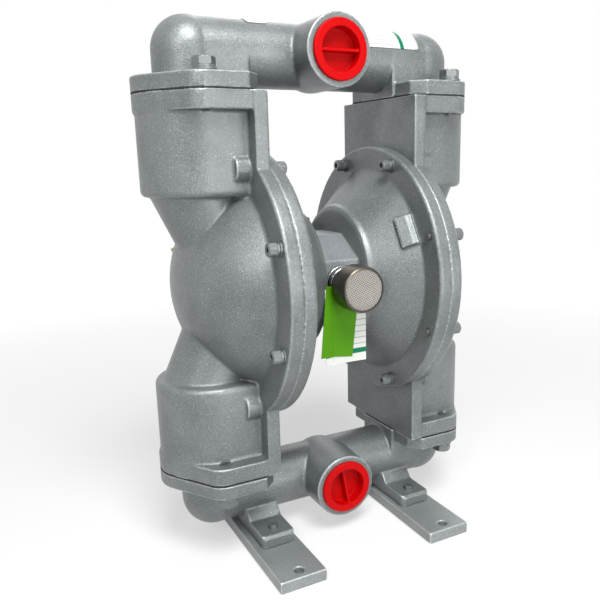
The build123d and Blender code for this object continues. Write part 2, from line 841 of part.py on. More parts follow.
def muffler_cap():
    # A thin bell: a rounded shoulder at the back, a straight side and a rounded front edge
    back = -muffler_back()
    front = back - muffler_length
    shoulder = muffler_radius - muffler_neck_radius
    profile = cyl_y(muffler_radius, back, front)
    bell = fillet(profile.edges().filter_by(GeomType.CIRCLE).sort_by(Axis.Y)[-1:], shoulder)
    bell = fillet(bell.edges().filter_by(GeomType.CIRCLE).sort_by(Axis.Y)[:1], muffler_front_round)
    bell -= cyl_y(muffler_radius - muffler_wall, back - shoulder, front + muffler_wall)
    bell -= cyl_y(muffler_neck_radius, back, back - shoulder)
    return bell - cyl_y(mesh_disc_radius(), front, front + muffler_wall)


def mesh_disc_radius():
    return muffler_radius - muffler_front_round


def muffler_mesh():
    front = -muffler_back() - muffler_length
    return cyl_y(mesh_disc_radius() - thread_gap, front, front + mesh_thickness)


def muffler_core():
    start = -muffler_back() - ring_thickness
    front = -muffler_back() - muffler_length + mesh_thickness
    return cyl_y(core_radius, start, front) - cyl_y(core_bore_radius, start, front)


def card_plan(layer):
    # The card seen from above, a thin strip that bends forward at its left end
    near = -ring_stack_end() - card_place - layer * (card_thickness + thread_gap)
    far = near - card_thickness
    bend = (card_bend_x + card_reach) * math.tan(math.radians(card_bend_slope))
    back = [(-card_reach, near - bend), (card_bend_x, near), (disc_radius, near)]
    front = [(disc_radius, far), (card_bend_x, far), (-card_reach, far - bend)]
    return make_face(Polyline(*back, *front, close=True)), near, far


def hang_card(left, right, drop, layer, tilt):
    # A card with a round tab that slips over the muffler's neck
    plan, near, far = card_plan(layer)
    strip = Pos(0, 0, -disc_radius) * extrude(plan, 2 * disc_radius)
    sheet = block(left, right, near + over, far - card_reach, -drop, -card_top_drop)
    card = strip & (Rot(0, tilt, 0) * sheet)
    card += cyl_y(ring_radius - ring_count, near, far)
    return card - cyl_y(muffler_neck_radius + slip_gap, near, far)


# Port plugs


def port_plug(turn):
    # Built on the diaphragm axis; the bar across the recess is turned about Y
    face, outside = -port_face, -port_face - plug_flange
    inside = -port_face + port_mouth_depth - plug_end_gap
    plug = cyl_y(plug_flange_radius, face, outside)
    plug = fillet(plug.edges().filter_by(GeomType.CIRCLE).sort_by(Axis.Y)[:1], plug_edge_round)
    plug += cyl_y(port_mouth_radius - slip_gap, face - over, inside)
    plug -= cyl_y(plug_recess_radius, outside, inside - plug_floor)
    reach, half = plug_recess_radius, plug_bar / 2
    bar = block(-reach, reach, outside + plug_bar_inset, inside, -half, half)
    return plug + Rot(0, turn, 0) * bar


# Feet and fasteners


def foot():
    low, top = ground, ground + foot_thickness
    half = foot_width / 2
    shape = block(foot_x - half, foot_x + half, -foot_half_length, foot_half_length, low, top)
    for y in (foot_hole_y, -foot_hole_y):
        shape -= cyl_z(foot_hole_radius, low, top, foot_x, y)
    for y in (pad_bolt_y, -pad_bolt_y):
        shape -= cyl_z(foot_bolt_radius + thread_gap, low, top, pad_x, y)
    return shape


def hex_bolt(radius, flats, head, length):
    # Head underside at 0, shank down to -length
    return hexagon_prism(flats, head) + cyl_z(radius, -length, 0)


def foot_bolt():
    length = pad_thickness + foot_thickness - tip_back
    return hex_bolt(foot_bolt_radius, foot_bolt_flats, foot_bolt_head, length)


def foot_bolts():
    top = ground + foot_thickness + pad_thickness
    bolt = foot_bolt()
    return [Pos(x, y, top) * bolt for x in (pad_x, -pad_x) for y in (pad_bolt_y, -pad_bolt_y)]


def washer(outer, inner, thickness):
    return cyl_z(outer, 0, thickness) - cyl_z(inner, 0, thickness)


def split_washer(outer, inner, thickness):
    half = washer_split / 2
    return washer(outer, inner, thickness) - block(0, outer + over, -half, half, 0, thickness)


def manifold_bolts():
    stack = manifold_washer + manifold_spring
    length = stack + manifold_flange + gasket_thickness + casing_flange - tip_back
    bolt = hex_bolt(manifold_bolt_radius, manifold_bolt_flats, manifold_bolt_head, length)
    top = flange_top + stack
    return [Pos(side * x, y, top) * bolt for side in (1, -1) for x, y in manifold_bolt_places()]


def manifold_washers():
    # A flat washer and a split one on it, for each bolt
    hole = manifold_bolt_radius + hole_gap
    rings = [washer(manifold_washer_radius, hole, manifold_washer)]
    rings.append(Pos(0, 0, manifold_washer) * split_washer(manifold_spring_radius, hole, manifold_spring))
    places = [(side * x, y) for side in (1, -1) for x, y in manifold_bolt_places()]
    return [Pos(x, y, flange_top) * ring for x, y in places for ring in rings]


def socket_screw(length):
    # Head underside at 0, head up along Z, shank down to -length
    screw = cyl_z(cap_screw_head_radius, 0, cap_screw_head)
    screw = chamfer(screw.edges().filter_by(GeomType.CIRCLE).sort_by(Axis.Z)[-1:], cap_screw_head_chamfer)
    screw -= Pos(0, 0, cap_screw_head - cap_screw_socket) * hexagon_prism(cap_screw_flats, cap_screw_socket)
    screw += cyl_z(cap_screw_radius, -length, 0)
    tip = screw.edges().filter_by(GeomType.CIRCLE).sort_by(Axis.Z)[:1]
    return chamfer(tip, cap_screw_tip_chamfer)


def point_out(piece, x, y, z):
    return Pos(x, y, z) * Rot(0, 90, 0) * piece


def point_in(piece, x, y, z):
    return Pos(x, y, z) * Rot(0, -90, 0) * piece


def fluid_side_screws():
    face = rim_x + fluid_flange
    length = washer_stack + fluid_flange + air_flange + tip_reach
    screw = socket_screw(length)
    return [point_out(screw, face + washer_stack, y, z) for y, z in around_disc(side_screws=True)]


def air_side_screws():
    face = rim_x - air_flange
    length = washer_stack + air_flange + fluid_flange + boss_length / 2
    screw = socket_screw(length)
    return [point_in(screw, face - washer_stack, y, z) for y, z in around_disc(side_screws=False)]


def disc_flat_washers():
    ring = washer(flat_washer_radius, cap_screw_radius + hole_gap, flat_washer)
    outside = [point_out(ring, rim_x + fluid_flange, y, z) for y, z in around_disc(side_screws=True)]
    inside = [point_in(ring, rim_x - air_flange, y, z) for y, z in around_disc(side_screws=False)]
    return outside + inside


def disc_spring_washers():
    ring = split_washer(spring_washer_radius, cap_screw_radius + hole_gap, spring_washer)
    out_x, in_x = rim_x + fluid_flange + flat_washer, rim_x - air_flange - flat_washer
    outside = [point_out(ring, out_x, y, z) for y, z in around_disc(side_screws=True)]
    inside = [point_in(ring, in_x, y, z) for y, z in around_disc(side_screws=False)]
    return outside + inside


def body_screws():
    floor = cap_end_x + cap_wall
    screw = socket_screw(floor - body_screw_tip)
    return [point_out(screw, floor, y, z) for y, z in body_screw_places()]


def valve_bolts():
    length = valve_depth + valve_gasket + valve_flange - tip_back
    screw = Rot(-90, 0, 0) * socket_screw(length)
    return [Pos(x, valve_back, z) * screw for x, z in valve_bolt_places()]


def end_cap_screws():
    far = valve_half_length + end_cap_thickness
    shank = cyl_z(end_screw_radius, -end_cap_thickness - end_screw_depth, 0)
    screw = shank + cyl_z(end_screw_head_radius, 0, end_screw_head)
    return [point_out(screw, far, y, z) for y, z in end_screw_places()]


# Earth terminal under the upper rear side screw of the left fluid cap


def terminal_place():
    return around_disc(side_screws=True)[0]


def terminal_direction():
    return Vector(terminal_reach, 0, terminal_bend_drop - terminal_drop).normalized()


def terminal_root():
    # Built on the right and mirrored: the barrel starts below the screw and leans outwards
    y, z = terminal_place()
    return Vector(rim_x + fluid_flange + flat_washer / 2, y, z - terminal_bend_drop)


def earth_terminal():
    y, z = terminal_place()
    face = rim_x + fluid_flange
    ring = point_out(washer(terminal_radius, cap_screw_radius + hole_gap, flat_washer), face, y, z)
    width = terminal_barrel_radius
    root = terminal_root()
    tongue = block(face, face + flat_washer, y - width, y + width, root.Z, z - terminal_radius + over)
    length = math.hypot(terminal_reach, terminal_drop - terminal_bend_drop)
    barrel = Plane(origin=root, z_dir=terminal_direction()) * cyl_z(terminal_barrel_radius, 0, length)
    half = disc_radius
    keep = block(face, face + 2 * terminal_reach, y - half, y + half, -half, half)
    return ring + (tongue + barrel & keep)


def earth_sleeve():
    length = math.hypot(terminal_reach, terminal_drop - terminal_bend_drop)
    end = length + terminal_sleeve_end
    start = end - terminal_sleeve_length
    skin = cyl_z(terminal_sleeve_radius, start, end) - cyl_z(terminal_barrel_radius, start, length)
    return Plane(origin=terminal_root(), z_dir=terminal_direction()) * skin


def write(name, shape):
    export_step(Pos(0, 0, axis_height) * shape, f"parts/{name}.step")


def write_pair(name, shape):
    write(f"{name}_right", shape)
    write(f"{name}_left", left_of(shape))


def both_sides(solids):
    return group(list(solids) + [left_of(s) for s in solids])


def main():
    os.makedirs("parts", exist_ok=True)

    write_pair("fluid_cap", fluid_cap())
    write_pair("air_cap", air_cap())
    write("center_body", center_body())
    write("outlet_manifold", outlet_manifold())
    write("inlet_manifold", inlet_manifold())
    write_pair("foot", foot())

    write_pair("diaphragm", diaphragm())
    write_pair("inner_plate", inner_plate())
    write_pair("outer_plate", outer_plate())
    write("plate_screws", both_sides([plate_screw()]))
    write("connecting_rod", connecting_rod())
    write("rod_bushes", both_sides([rod_bush()]))
    write("rod_seals", both_sides([rod_seal()]))
    write("pilot_rod", pilot_rod())
    write("pilot_bushes", both_sides([pilot_bush()]))
    write("body_gaskets", both_sides([body_gasket_ring()]))
    write("body_screws", both_sides(body_screws()))

    write("valve_seats", both_sides([outlet_valve(valve_seat()), inlet_valve(valve_seat())]))
    write_pair("outlet_cage", outlet_valve(valve_cage()))
    write_pair("inlet_cage", inlet_valve(valve_cage()))
    write_pair("outlet_ball", outlet_valve(valve_ball()))
    write_pair("inlet_ball", inlet_valve(valve_ball()))
    write("seat_seals", both_sides([outlet_valve(seat_seal()), inlet_valve(seat_seal())]))
    write("flange_gaskets", both_sides([flange_gasket(), below(flange_gasket())]))

    write("valve_gasket", valve_gasket_plate())
    write("valve_block", valve_block())
    write("valve_sleeve", valve_sleeve())
    write("valve_spool", valve_spool())
    write_pair("valve_end_cap", valve_end_cap())
    write("valve_bolts", group(valve_bolts()))
    write("end_cap_screws", both_sides(end_cap_screws()))

    write("muffler_fitting", muffler_fitting())
    write("muffler_cap", muffler_cap())
    write("muffler_mesh", muffler_mesh())
    write("muffler_core", muffler_core())
    write("white_card", hang_card(white_card_left, white_card_right, white_card_drop, 0, 0))
    green_size = (green_card_left, green_card_right, green_card_drop)
    write("green_card", hang_card(*green_size, 1, green_card_tilt))

    write("outlet_plug", Pos(0, 0, port_rise) * port_plug(0))
    write("inlet_plug", Pos(0, 0, -port_rise) * port_plug(inlet_plug_turn))

    write("manifold_bolts", group(manifold_bolts() + [below(s) for s in manifold_bolts()]))
    write("manifold_washers", group(manifold_washers() + [below(s) for s in manifold_washers()]))
    write("foot_bolts", group(foot_bolts()))
    write("fluid_side_screws", both_sides(fluid_side_screws()))
    write("air_side_screws", both_sides(air_side_screws()))
    left_washers = [left_of(s) for s in disc_flat_washers()[1:]]
    write("disc_washers", group(disc_flat_washers() + left_washers))
    write("disc_spring_washers", both_sides(disc_spring_washers()))
    write("earth_terminal", left_of(earth_terminal()))
    write("earth_sleeve", left_of(earth_sleeve()))


main()
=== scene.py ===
# Air operated diaphragm pump: cast skins, fasteners, wire cloth, cards, stickers, light and camera,
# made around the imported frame.
# All lengths are metres. Left is -X, the ports face -Y and Z is up.
import math

import bmesh
import bpy
import numpy as np
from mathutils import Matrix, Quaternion, Vector


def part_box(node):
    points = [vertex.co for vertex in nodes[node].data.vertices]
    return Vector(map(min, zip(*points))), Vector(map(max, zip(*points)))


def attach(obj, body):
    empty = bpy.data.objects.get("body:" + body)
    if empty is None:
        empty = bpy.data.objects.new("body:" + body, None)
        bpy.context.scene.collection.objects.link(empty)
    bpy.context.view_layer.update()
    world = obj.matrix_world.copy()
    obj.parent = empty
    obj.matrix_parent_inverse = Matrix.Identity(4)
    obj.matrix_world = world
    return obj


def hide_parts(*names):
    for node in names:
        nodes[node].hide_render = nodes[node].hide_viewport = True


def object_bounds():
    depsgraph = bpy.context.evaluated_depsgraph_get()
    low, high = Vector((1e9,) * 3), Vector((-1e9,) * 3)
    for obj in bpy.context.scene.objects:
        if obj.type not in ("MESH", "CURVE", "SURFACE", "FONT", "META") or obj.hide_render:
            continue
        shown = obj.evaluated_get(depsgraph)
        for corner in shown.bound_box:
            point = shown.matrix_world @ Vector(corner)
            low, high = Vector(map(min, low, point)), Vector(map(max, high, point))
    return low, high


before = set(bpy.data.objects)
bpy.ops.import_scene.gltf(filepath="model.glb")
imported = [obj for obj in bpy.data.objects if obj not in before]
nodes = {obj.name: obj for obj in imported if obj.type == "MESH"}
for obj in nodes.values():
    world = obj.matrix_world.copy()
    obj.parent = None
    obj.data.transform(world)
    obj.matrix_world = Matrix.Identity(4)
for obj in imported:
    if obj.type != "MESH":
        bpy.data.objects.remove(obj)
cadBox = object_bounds()
scene = bpy.context.scene
sides = ("left", "right")
print("frame loaded:", len(nodes), "nodes")


# Camera

view = {
    "place": (-0.3486, -0.6868, 0.4212),
    "yaw": -28.11,
    "pitch": -12.98,
    "roll": -1.06,
    "lens": 40.55,
    "sensor": 36.0,
    "shiftX": -0.05,
    "shiftY": 0.025,
}


def makeCamera():
    data = bpy.data.cameras.new("camera")
    data.sensor_fit = "HORIZONTAL"
    data.sensor_width = view["sensor"]
    data.lens = view["lens"]
    data.shift_x = view["shiftX"]
    data.shift_y = view["shiftY"]
    camera = bpy.data.objects.new("camera", data)
    scene.collection.objects.link(camera)
    yaw, pitch, roll = (math.radians(view[k]) for k in ("yaw", "pitch", "roll"))
    ahead = Vector((-math.sin(yaw) * math.cos(pitch), math.cos(yaw) * math.cos(pitch), math.sin(pitch)))
    camera.location = view["place"]
    camera.rotation_mode = "QUATERNION"
    camera.rotation_quaternion = Quaternion(ahead, -roll) @ ahead.to_track_quat("-Z", "Y")
    scene.camera = camera


makeCamera()
print("camera set")


# Node helpers, for materials and geometry alike


def put(tree, kind, sockets=None, **settings):
    # Each value that is a socket is linked, each other one is set
    node = tree.nodes.new(kind)
    for key, value in settings.items():
        setattr(node, key, value)
    for key, value in (sockets or {}).items():
        if isinstance(value, bpy.types.NodeSocket):
            tree.links.new(value, node.inputs[key])
        else:
            node.inputs[key].default_value = value
    return node


def calc(tree, operation, a, b=0.0, c=0.5, clamp=False):
    # c is used by MULTIPLY_ADD alone
    return put(tree, "ShaderNodeMath", {0: a, 1: b, 2: c}, operation=operation, use_clamp=clamp).outputs[0]


def newGroup(name, kind, inputs, outputs):
    tree = bpy.data.node_groups.new(name, kind)
    for label, socketType, value in inputs:
        socket = tree.interface.new_socket(label, in_out="INPUT", socket_type="NodeSocket" + socketType)
        if value is not None:
            socket.default_value = value
    for label, socketType in outputs:
        tree.interface.new_socket(label, in_out="OUTPUT", socket_type="NodeSocket" + socketType)
    return tree, tree.nodes.new("NodeGroupInput").outputs, tree.nodes.new("NodeGroupOutput").inputs


def useGroup(tree, group, sockets):
    return put(tree, "ShaderNodeGroup", sockets, node_tree=group).outputs


def mixColour(tree, factor, a, b, blend="MIX"):
    sockets = {0: factor, 6: a, 7: b}
    return put(tree, "ShaderNodeMix", sockets, data_type="RGBA", blend_type=blend).outputs[2]


def ramp(tree, source, low, high):
    # 0 at low, 1 at high
    return put(tree, "ShaderNodeMapRange", {"Value": source, "From Min": low, "From Max": high}).outputs[0]


def between(tree, source, low, high):
    # low where the source is 0, high where it is 1
    return put(tree, "ShaderNodeMapRange", {"Value": source, "To Min": low, "To Max": high}).outputs[0]


def cloudy(tree, place, scale, detail, roughness=0.5):
    values = {"Vector": place, "Scale": scale, "Detail": detail, "Roughness": roughness}
    return put(tree, "ShaderNodeTexNoise", values).outputs[0]


def opaque(colour, level=1.0):
    return tuple(c * level for c in colour) + (1,)


def grey(level):
    return (level, level, level, 1)


# Shared effects


patterns = {
    "grainDetail": 3.0,
    "grainRoughness": 0.6,
    "speckScale": 0.85,  # cells that hold a speck, against the grain's scale
    "speckReach": 0.36,  # a full speck's reach in its cell
    "speckChosen": (0.6, 0.95),  # the cells that get one
    "variation": (0.34, 0.66),
    "mottleDetail": 4.0,
    "mottleRoughness": 0.55,
    "breakUpScale": 220.0,
    "breakUp": 0.03,
    # Pointiness range over which inner corners take painted shade
    "corner": (0.485, 0.42),
}


def makeGrainGroup():
    # Fine sand-cast grain: a height, a mask of specks that the cast metals paint bright as glints, and a
    # fine variation
    tree, given, out = newGroup(
        "castGrain",
        "ShaderNodeTree",
        [("Place", "Vector", None), ("Grain Size", "Float", 0.001), ("Speck Amount", "Float", 0.5)],
        [("Height", "Float"), ("Glint Specks", "Float"), ("Variation", "Float")],
    )
    scale = calc(tree, "DIVIDE", 1.0, given["Grain Size"])
    fine = cloudy(tree, given["Place"], scale, patterns["grainDetail"], patterns["grainRoughness"])
    cellScale = calc(tree, "MULTIPLY", scale, patterns["speckScale"])
    cellValues = {"Vector": given["Place"], "Scale": cellScale}
    cells = put(tree, "ShaderNodeTexVoronoi", cellValues, feature="F1").outputs
    reach = calc(tree, "MULTIPLY", given["Speck Amount"], patterns["speckReach"])
    speck = ramp(tree, cells["Distance"], reach, 0.0)
    chance = put(tree, "ShaderNodeSeparateColor", {0: cells["Color"]}).outputs[0]
    chosen = ramp(tree, chance, *patterns["speckChosen"])
    tree.links.new(fine, out["Height"])
    tree.links.new(calc(tree, "MULTIPLY", speck, chosen, clamp=True), out["Glint Specks"])
    tree.links.new(ramp(tree, fine, *patterns["variation"]), out["Variation"])
    return tree


def makeMottleGroup():
    # Slow changes of tone over a hand's width, as shot blasting leaves
    tree, given, out = newGroup(
        "mottle",
        "ShaderNodeTree",
        [("Place", "Vector", None), ("Patch Size", "Float", 0.05), ("Contrast", "Float", 1.0)],
        [("Value", "Float")],
    )
    scale = calc(tree, "DIVIDE", 1.0, given["Patch Size"])
    slow = cloudy(tree, given["Place"], scale, patterns["mottleDetail"], patterns["mottleRoughness"])
    centred = calc(tree, "SUBTRACT", slow, 0.5)
    tree.links.new(calc(tree, "MULTIPLY_ADD", centred, given["Contrast"], 0.5), out["Value"])
    return tree


def makeWearHighlightShadeGroup():
    # Bright edges, partly rubbed wear and partly painted highlight, and painted shade in inner corners,
    # from how convex the surface is
    tree, given, out = newGroup(
        "edgeWearHighlightShade",
        "ShaderNodeTree",
        [("Place", "Vector", None), ("Edge Start", "Float", 0.52), ("Edge Full", "Float", 0.6)],
        [("Edges", "Float"), ("Shaded Corners", "Float")],
    )
    shape = put(tree, "ShaderNodeNewGeometry").outputs["Pointiness"]
    patchy = cloudy(tree, given["Place"], patterns["breakUpScale"], patterns["grainDetail"])
    loosened = calc(tree, "MULTIPLY_ADD", patchy, patterns["breakUp"], -patterns["breakUp"] / 2)
    edge = calc(tree, "ADD", shape, loosened)
    tree.links.new(ramp(tree, edge, given["Edge Start"], given["Edge Full"]), out["Edges"])
    tree.links.new(ramp(tree, shape, *patterns["corner"]), out["Shaded Corners"])
    return tree


grainGroup = makeGrainGroup()
mottleGroup = makeMottleGroup()
wearHighlightShadeGroup = makeWearHighlightShadeGroup()


def newMaterial(name, **shaderValues):
    material = bpy.data.materials.new(name)
    material.use_nodes = True
    tree = material.node_tree
    shader = tree.nodes["Principled BSDF"]
    for key, value in shaderValues.items():
        shader.inputs[key.replace("_", " ")].default_value = value
    place = put(tree, "ShaderNodeTexCoord").outputs["Object"]
    return material, tree, shader, place


def addBump(tree, shader, height, strength, distance):
    bump = put(tree, "ShaderNodeBump", {"Height": height, "Strength": strength, "Distance": distance})
    tree.links.new(bump.outputs[0], shader.inputs["Normal"])


# Metals

# In each metal, edge is a near-white colour for edges (partly rubbed wear, partly painted highlight) and
# for specks (painted glints); corner is painted shade for inner corners
metals = {
    "castAluminium": {
        "dark": (0.125, 0.138, 0.138, 1),
        "light": (0.225, 0.242, 0.247, 1),
        "edge": (0.80, 0.83, 0.84, 1),
        "corner": (0.035, 0.045, 0.038, 1),
        "metallic": 0.48,
        "rough": (0.30, 0.46),
        "grain": 0.0017,
        "bump": 0.6,
    },
    "centerCasting": {
        "dark": (0.19, 0.205, 0.215, 1),
        "light": (0.27, 0.29, 0.30, 1),
        "edge": (0.78, 0.8, 0.81, 1),
        "corner": (0.04, 0.045, 0.045, 1),
        "metallic": 0.28,
        "rough": (0.38, 0.55),
        "grain": 0.0016,
        "bump": 0.5,
    },
    "footSteel": {
        "dark": (0.20, 0.215, 0.215, 1),
        "light": (0.29, 0.31, 0.31, 1),
        "edge": (0.85, 0.88, 0.87, 1),
        "corner": (0.05, 0.06, 0.06, 1),
        "metallic": 0.32,
        "rough": (0.34, 0.48),
        "grain": 0.0013,
        "bump": 0.3,
    },
}


cast = {
    "patch": 0.045,
    "contrast": 1.5,
    "specks": 0.9,
    "grainTone": (0.82, 1.18),
    # Shares of painted glints on the specks, of painted shade in inner corners, and of bright edges that
    # are partly wear and partly painted highlight
    "glintSpeckShare": 0.55,
    "cornerShadeShare": 0.5,
    "edgeWearHighlightShare": 0.85,
    "bumpDepth": 0.0006,
}


def makeRoughMetal(name):
    look = metals[name]
    material, tree, shader, place = newMaterial(name, Metallic=look["metallic"])
    patchValues = {"Place": place, "Patch Size": cast["patch"], "Contrast": cast["contrast"]}
    patch = useGroup(tree, mottleGroup, patchValues)["Value"]
    grainValues = {"Place": place, "Grain Size": look["grain"], "Speck Amount": cast["specks"]}
    grain = useGroup(tree, grainGroup, grainValues)
    wearHighlightShade = useGroup(tree, wearHighlightShadeGroup, {"Place": place})
    tone = mixColour(tree, patch, look["dark"], look["light"])
    finer = mixColour(tree, grain["Variation"], *(grey(level) for level in cast["grainTone"]))
    tone = mixColour(tree, 1.0, tone, finer, "MULTIPLY")
    # Painted glints on the specks, painted shade in inner corners, and bright edges that are partly wear
    # and partly painted highlight
    over = (
        (grain["Glint Specks"], "glintSpeckShare", "edge"),
        (wearHighlightShade["Shaded Corners"], "cornerShadeShare", "corner"),
        (wearHighlightShade["Edges"], "edgeWearHighlightShare", "edge"),
    )
    for mask, share, colour in over:
        tone = mixColour(tree, calc(tree, "MULTIPLY", mask, cast[share]), tone, look[colour])
    tree.links.new(tone, shader.inputs["Base Color"])
    tree.links.new(between(tree, grain["Variation"], *look["rough"]), shader.inputs["Roughness"])
    addBump(tree, shader, grain["Height"], look["bump"], cast["bumpDepth"])
    return material


plated = {
    "detail": 3.0,
    "patch": 0.012,
    "contrast": 1.0,
    "patchShare": 0.3,
    "patchLevel": 0.7,
    "roughSpread": (0.75, 1.3),
    "bump": 0.1,
    "bumpDepth": 0.0001,
}


def spreadRoughness(tree, shader, mask, roughness, spread):
    values = between(tree, mask, *(roughness * share for share in spread))
    tree.links.new(values, shader.inputs["Roughness"])


def makeSmoothMetal(name, colour, roughness, scale, streaks=0.12, metallic=1.0):
    # Turned, drawn or plated metal with fine streaks across its length
    material, tree, shader, place = newMaterial(name, Metallic=metallic)
    stretch = put(tree, "ShaderNodeMapping", {"Vector": place, "Scale": scale}).outputs[0]
    lines = cloudy(tree, stretch, 1.0, plated["detail"])
    patchValues = {"Place": place, "Patch Size": plated["patch"], "Contrast": plated["contrast"]}
    patch = useGroup(tree, mottleGroup, patchValues)["Value"]
    tone = mixColour(tree, lines, opaque(colour, 1 - streaks), opaque(colour))
    share = calc(tree, "MULTIPLY", patch, plated["patchShare"])
    tone = mixColour(tree, share, tone, opaque(colour, plated["patchLevel"]))
    tree.links.new(tone, shader.inputs["Base Color"])
    spreadRoughness(tree, shader, lines, roughness, plated["roughSpread"])
    addBump(tree, shader, lines, plated["bump"], plated["bumpDepth"])
    return material


moulded = {
    "contrast": 1.2,
    "specks": 0.2,
    "roughSpread": (0.9, 1.1),
    "bumpDepth": 0.0003,
}


def makePlain(
    name, colour, roughness, variation=0.1, patchSize=0.02, bump=0.05, grainSize=0.0012, specular=0.5
):
    # Rubber, plastic or felt: even colour with a little mottle and a fine grain
    material, tree, shader, place = newMaterial(name, Specular_IOR_Level=specular)
    patchValues = {"Place": place, "Patch Size": patchSize, "Contrast": moulded["contrast"]}
    patch = useGroup(tree, mottleGroup, patchValues)["Value"]
    grainValues = {"Place": place, "Grain Size": grainSize, "Speck Amount": moulded["specks"]}
    grain = useGroup(tree, grainGroup, grainValues)
    tone = mixColour(tree, patch, opaque(colour, 1 - variation), opaque(colour))
    tree.links.new(tone, shader.inputs["Base Color"])
    spreadRoughness(tree, shader, patch, roughness, moulded["roughSpread"])
    addBump(tree, shader, grain["Height"], bump, moulded["bumpDepth"])
    return material


castAluminium = makeRoughMetal("castAluminium")
centerCasting = makeRoughMetal("centerCasting")
footSteel = makeRoughMetal("footSteel")
zincPlate = makeSmoothMetal(
    "zincPlate", (0.23, 0.245, 0.25), roughness=0.4, scale=(400, 400, 3000), streaks=0.2, metallic=0.85
)
turnedAluminium = makeSmoothMetal(
    "turnedAluminium", (0.62, 0.63, 0.64), roughness=0.32, scale=(3000, 300, 300)
)
hardChrome = makeSmoothMetal(
    "hardChrome", (0.72, 0.73, 0.74), roughness=0.12, scale=(3000, 200, 200), streaks=0.04
)
brightChrome = makeSmoothMetal(
    "brightChrome", (0.46, 0.475, 0.48), roughness=0.14, scale=(200, 3000, 200), streaks=0.1
)
bellSteel = makeSmoothMetal(
    "bellSteel", (0.165, 0.15, 0.125), roughness=0.3, scale=(250, 2600, 250), streaks=0.45
)
wireSteel = makeSmoothMetal(
    "wireSteel", (0.55, 0.52, 0.48), roughness=0.3, scale=(900, 900, 900), streaks=0.3
)
bushBronze = makeSmoothMetal("bushBronze", (0.55, 0.38, 0.18), roughness=0.35, scale=(3000, 300, 300))
blackRubber = makePlain("blackRubber", (0.022, 0.022, 0.023), roughness=0.62, variation=0.3)
gasketSheet = makePlain("gasketSheet", (0.020, 0.021, 0.022), roughness=0.8, variation=0.3)
fibreSheet = makePlain("fibreSheet", (0.22, 0.225, 0.22), roughness=0.8, variation=0.3)
seatPlastic = makePlain("seatPlastic", (0.78, 0.76, 0.70), roughness=0.45)
redPlastic = makePlain(
    "redPlastic",
    (0.52, 0.0, 0.001),
    roughness=0.5,
    variation=0.22,
    patchSize=0.03,
    bump=0.06,
    specular=0.1,
)
sootyFelt = makePlain(
    "sootyFelt",
    (0.045, 0.043, 0.04),
    roughness=0.95,
    variation=0.35,
    patchSize=0.004,
    bump=0.5,
    grainSize=0.0008,
)
print("metals, rubbers and plastics made")


# Cards and stickers: plain print without words

printed = {
    "patch": 0.03,
    "contrast": 1.0,
    "grain": 0.0005,
    "specks": 0.1,
    "fade": 0.93,
    "specular": 0.2,
    "roughSpread": (0.85, 1.15),
    "bump": 0.05,
    "bumpDepth": 0.0001,
}


def makePrinted(name, paper, bands, roughness):
    # bands: ([(axis letter, from, to), ...], colour), stripes in metres of the object's own frame
    material, tree, shader, place = newMaterial(name, Specular_IOR_Level=printed["specular"])
    patchValues = {"Place": place, "Patch Size": printed["patch"], "Contrast": printed["contrast"]}
    patch = useGroup(tree, mottleGroup, patchValues)["Value"]
    grainValues = {"Place": place, "Grain Size": printed["grain"], "Speck Amount": printed["specks"]}
    grain = useGroup(tree, grainGroup, grainValues)
    tone = mixColour(tree, patch, opaque(paper, printed["fade"]), opaque(paper))
    axes = put(tree, "ShaderNodeSeparateXYZ", {0: place}).outputs
    for limits, colour in bands:
        mask = 1.0
        for axis, low, high in limits:
            above = calc(tree, "GREATER_THAN", axes[axis], low)
            under = calc(tree, "LESS_THAN", axes[axis], high)
            mask = calc(tree, "MULTIPLY", mask, calc(tree, "MULTIPLY", above, under))
        tone = mixColour(tree, mask, tone, opaque(colour))
    tree.links.new(tone, shader.inputs["Base Color"])
    spreadRoughness(tree, shader, patch, roughness, printed["roughSpread"])
    addBump(tree, shader, grain["Height"], printed["bump"], printed["bumpDepth"])
    return material


def coat(node, material):
    mesh = nodes[node].data
    mesh.materials.clear()
    mesh.materials.append(material)


# Meshes

samePlace = 1e-6


def addObject(name, mesh, material=None):
    piece = bpy.data.objects.new(name, mesh)
    scene.collection.objects.link(piece)
    if material:
        mesh.materials.clear()
        mesh.materials.append(material)
    return piece


def finishPiece(piece, body, slot, *replaced):
    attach(piece, body)
    if replaced:
        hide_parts(*replaced)
    return piece


def merged(node):
    # The node's loose triangles joined into closed shells
    shape = bmesh.new()
    shape.from_mesh(nodes[node].data)
    bmesh.ops.remove_doubles(shape, verts=shape.verts, dist=samePlace)
    return shape


def mergedCopy(node, name):
    shape = merged(node)
    mesh = bpy.data.meshes.new(name)
    shape.to_mesh(mesh)
    shape.free()
    return mesh


def baked(piece):
    # The piece's modifiers turned into its mesh
    mesh = bpy.data.meshes.new_from_object(piece.evaluated_get(bpy.context.evaluated_depsgraph_get()))
    piece.modifiers.clear()
    old = piece.data
    piece.data = mesh
    bpy.data.meshes.remove(old)
    return mesh


skin = {
    "voxel": 0.0014,
    "finerVoxel": 0.0011,
    "endCapVoxel": 0.0009,
    "plugVoxel": 0.0006,
    "smoothing": 0.5,
    "rounds": 2,
    "mostTriangles": 186000,
}


def castSkin(name, node, material, body, slot, voxel=skin["voxel"]):
    # A copy of the casting with softened edges and inner corners, as sand casting and blasting leave them
    piece = addObject(name, mergedCopy(node, name))
    remesh = piece.modifiers.new("remesh", "REMESH")
    remesh.mode = "VOXEL"
    remesh.voxel_size = voxel
    remesh.adaptivity = 0.0
    soften = piece.modifiers.new("soften", "SMOOTH")
    soften.factor = skin["smoothing"]
    soften.iterations = skin["rounds"]
    mesh = baked(piece)
    triangles = 2 * len(mesh.polygons)
    if triangles > skin["mostTriangles"]:
        thin = piece.modifiers.new("thin", "DECIMATE")
        thin.ratio = skin["mostTriangles"] / triangles
        mesh = baked(piece)
    mesh.shade_smooth()
    mesh.materials.clear()
    mesh.materials.append(material)
    return finishPiece(piece, body, slot, node)


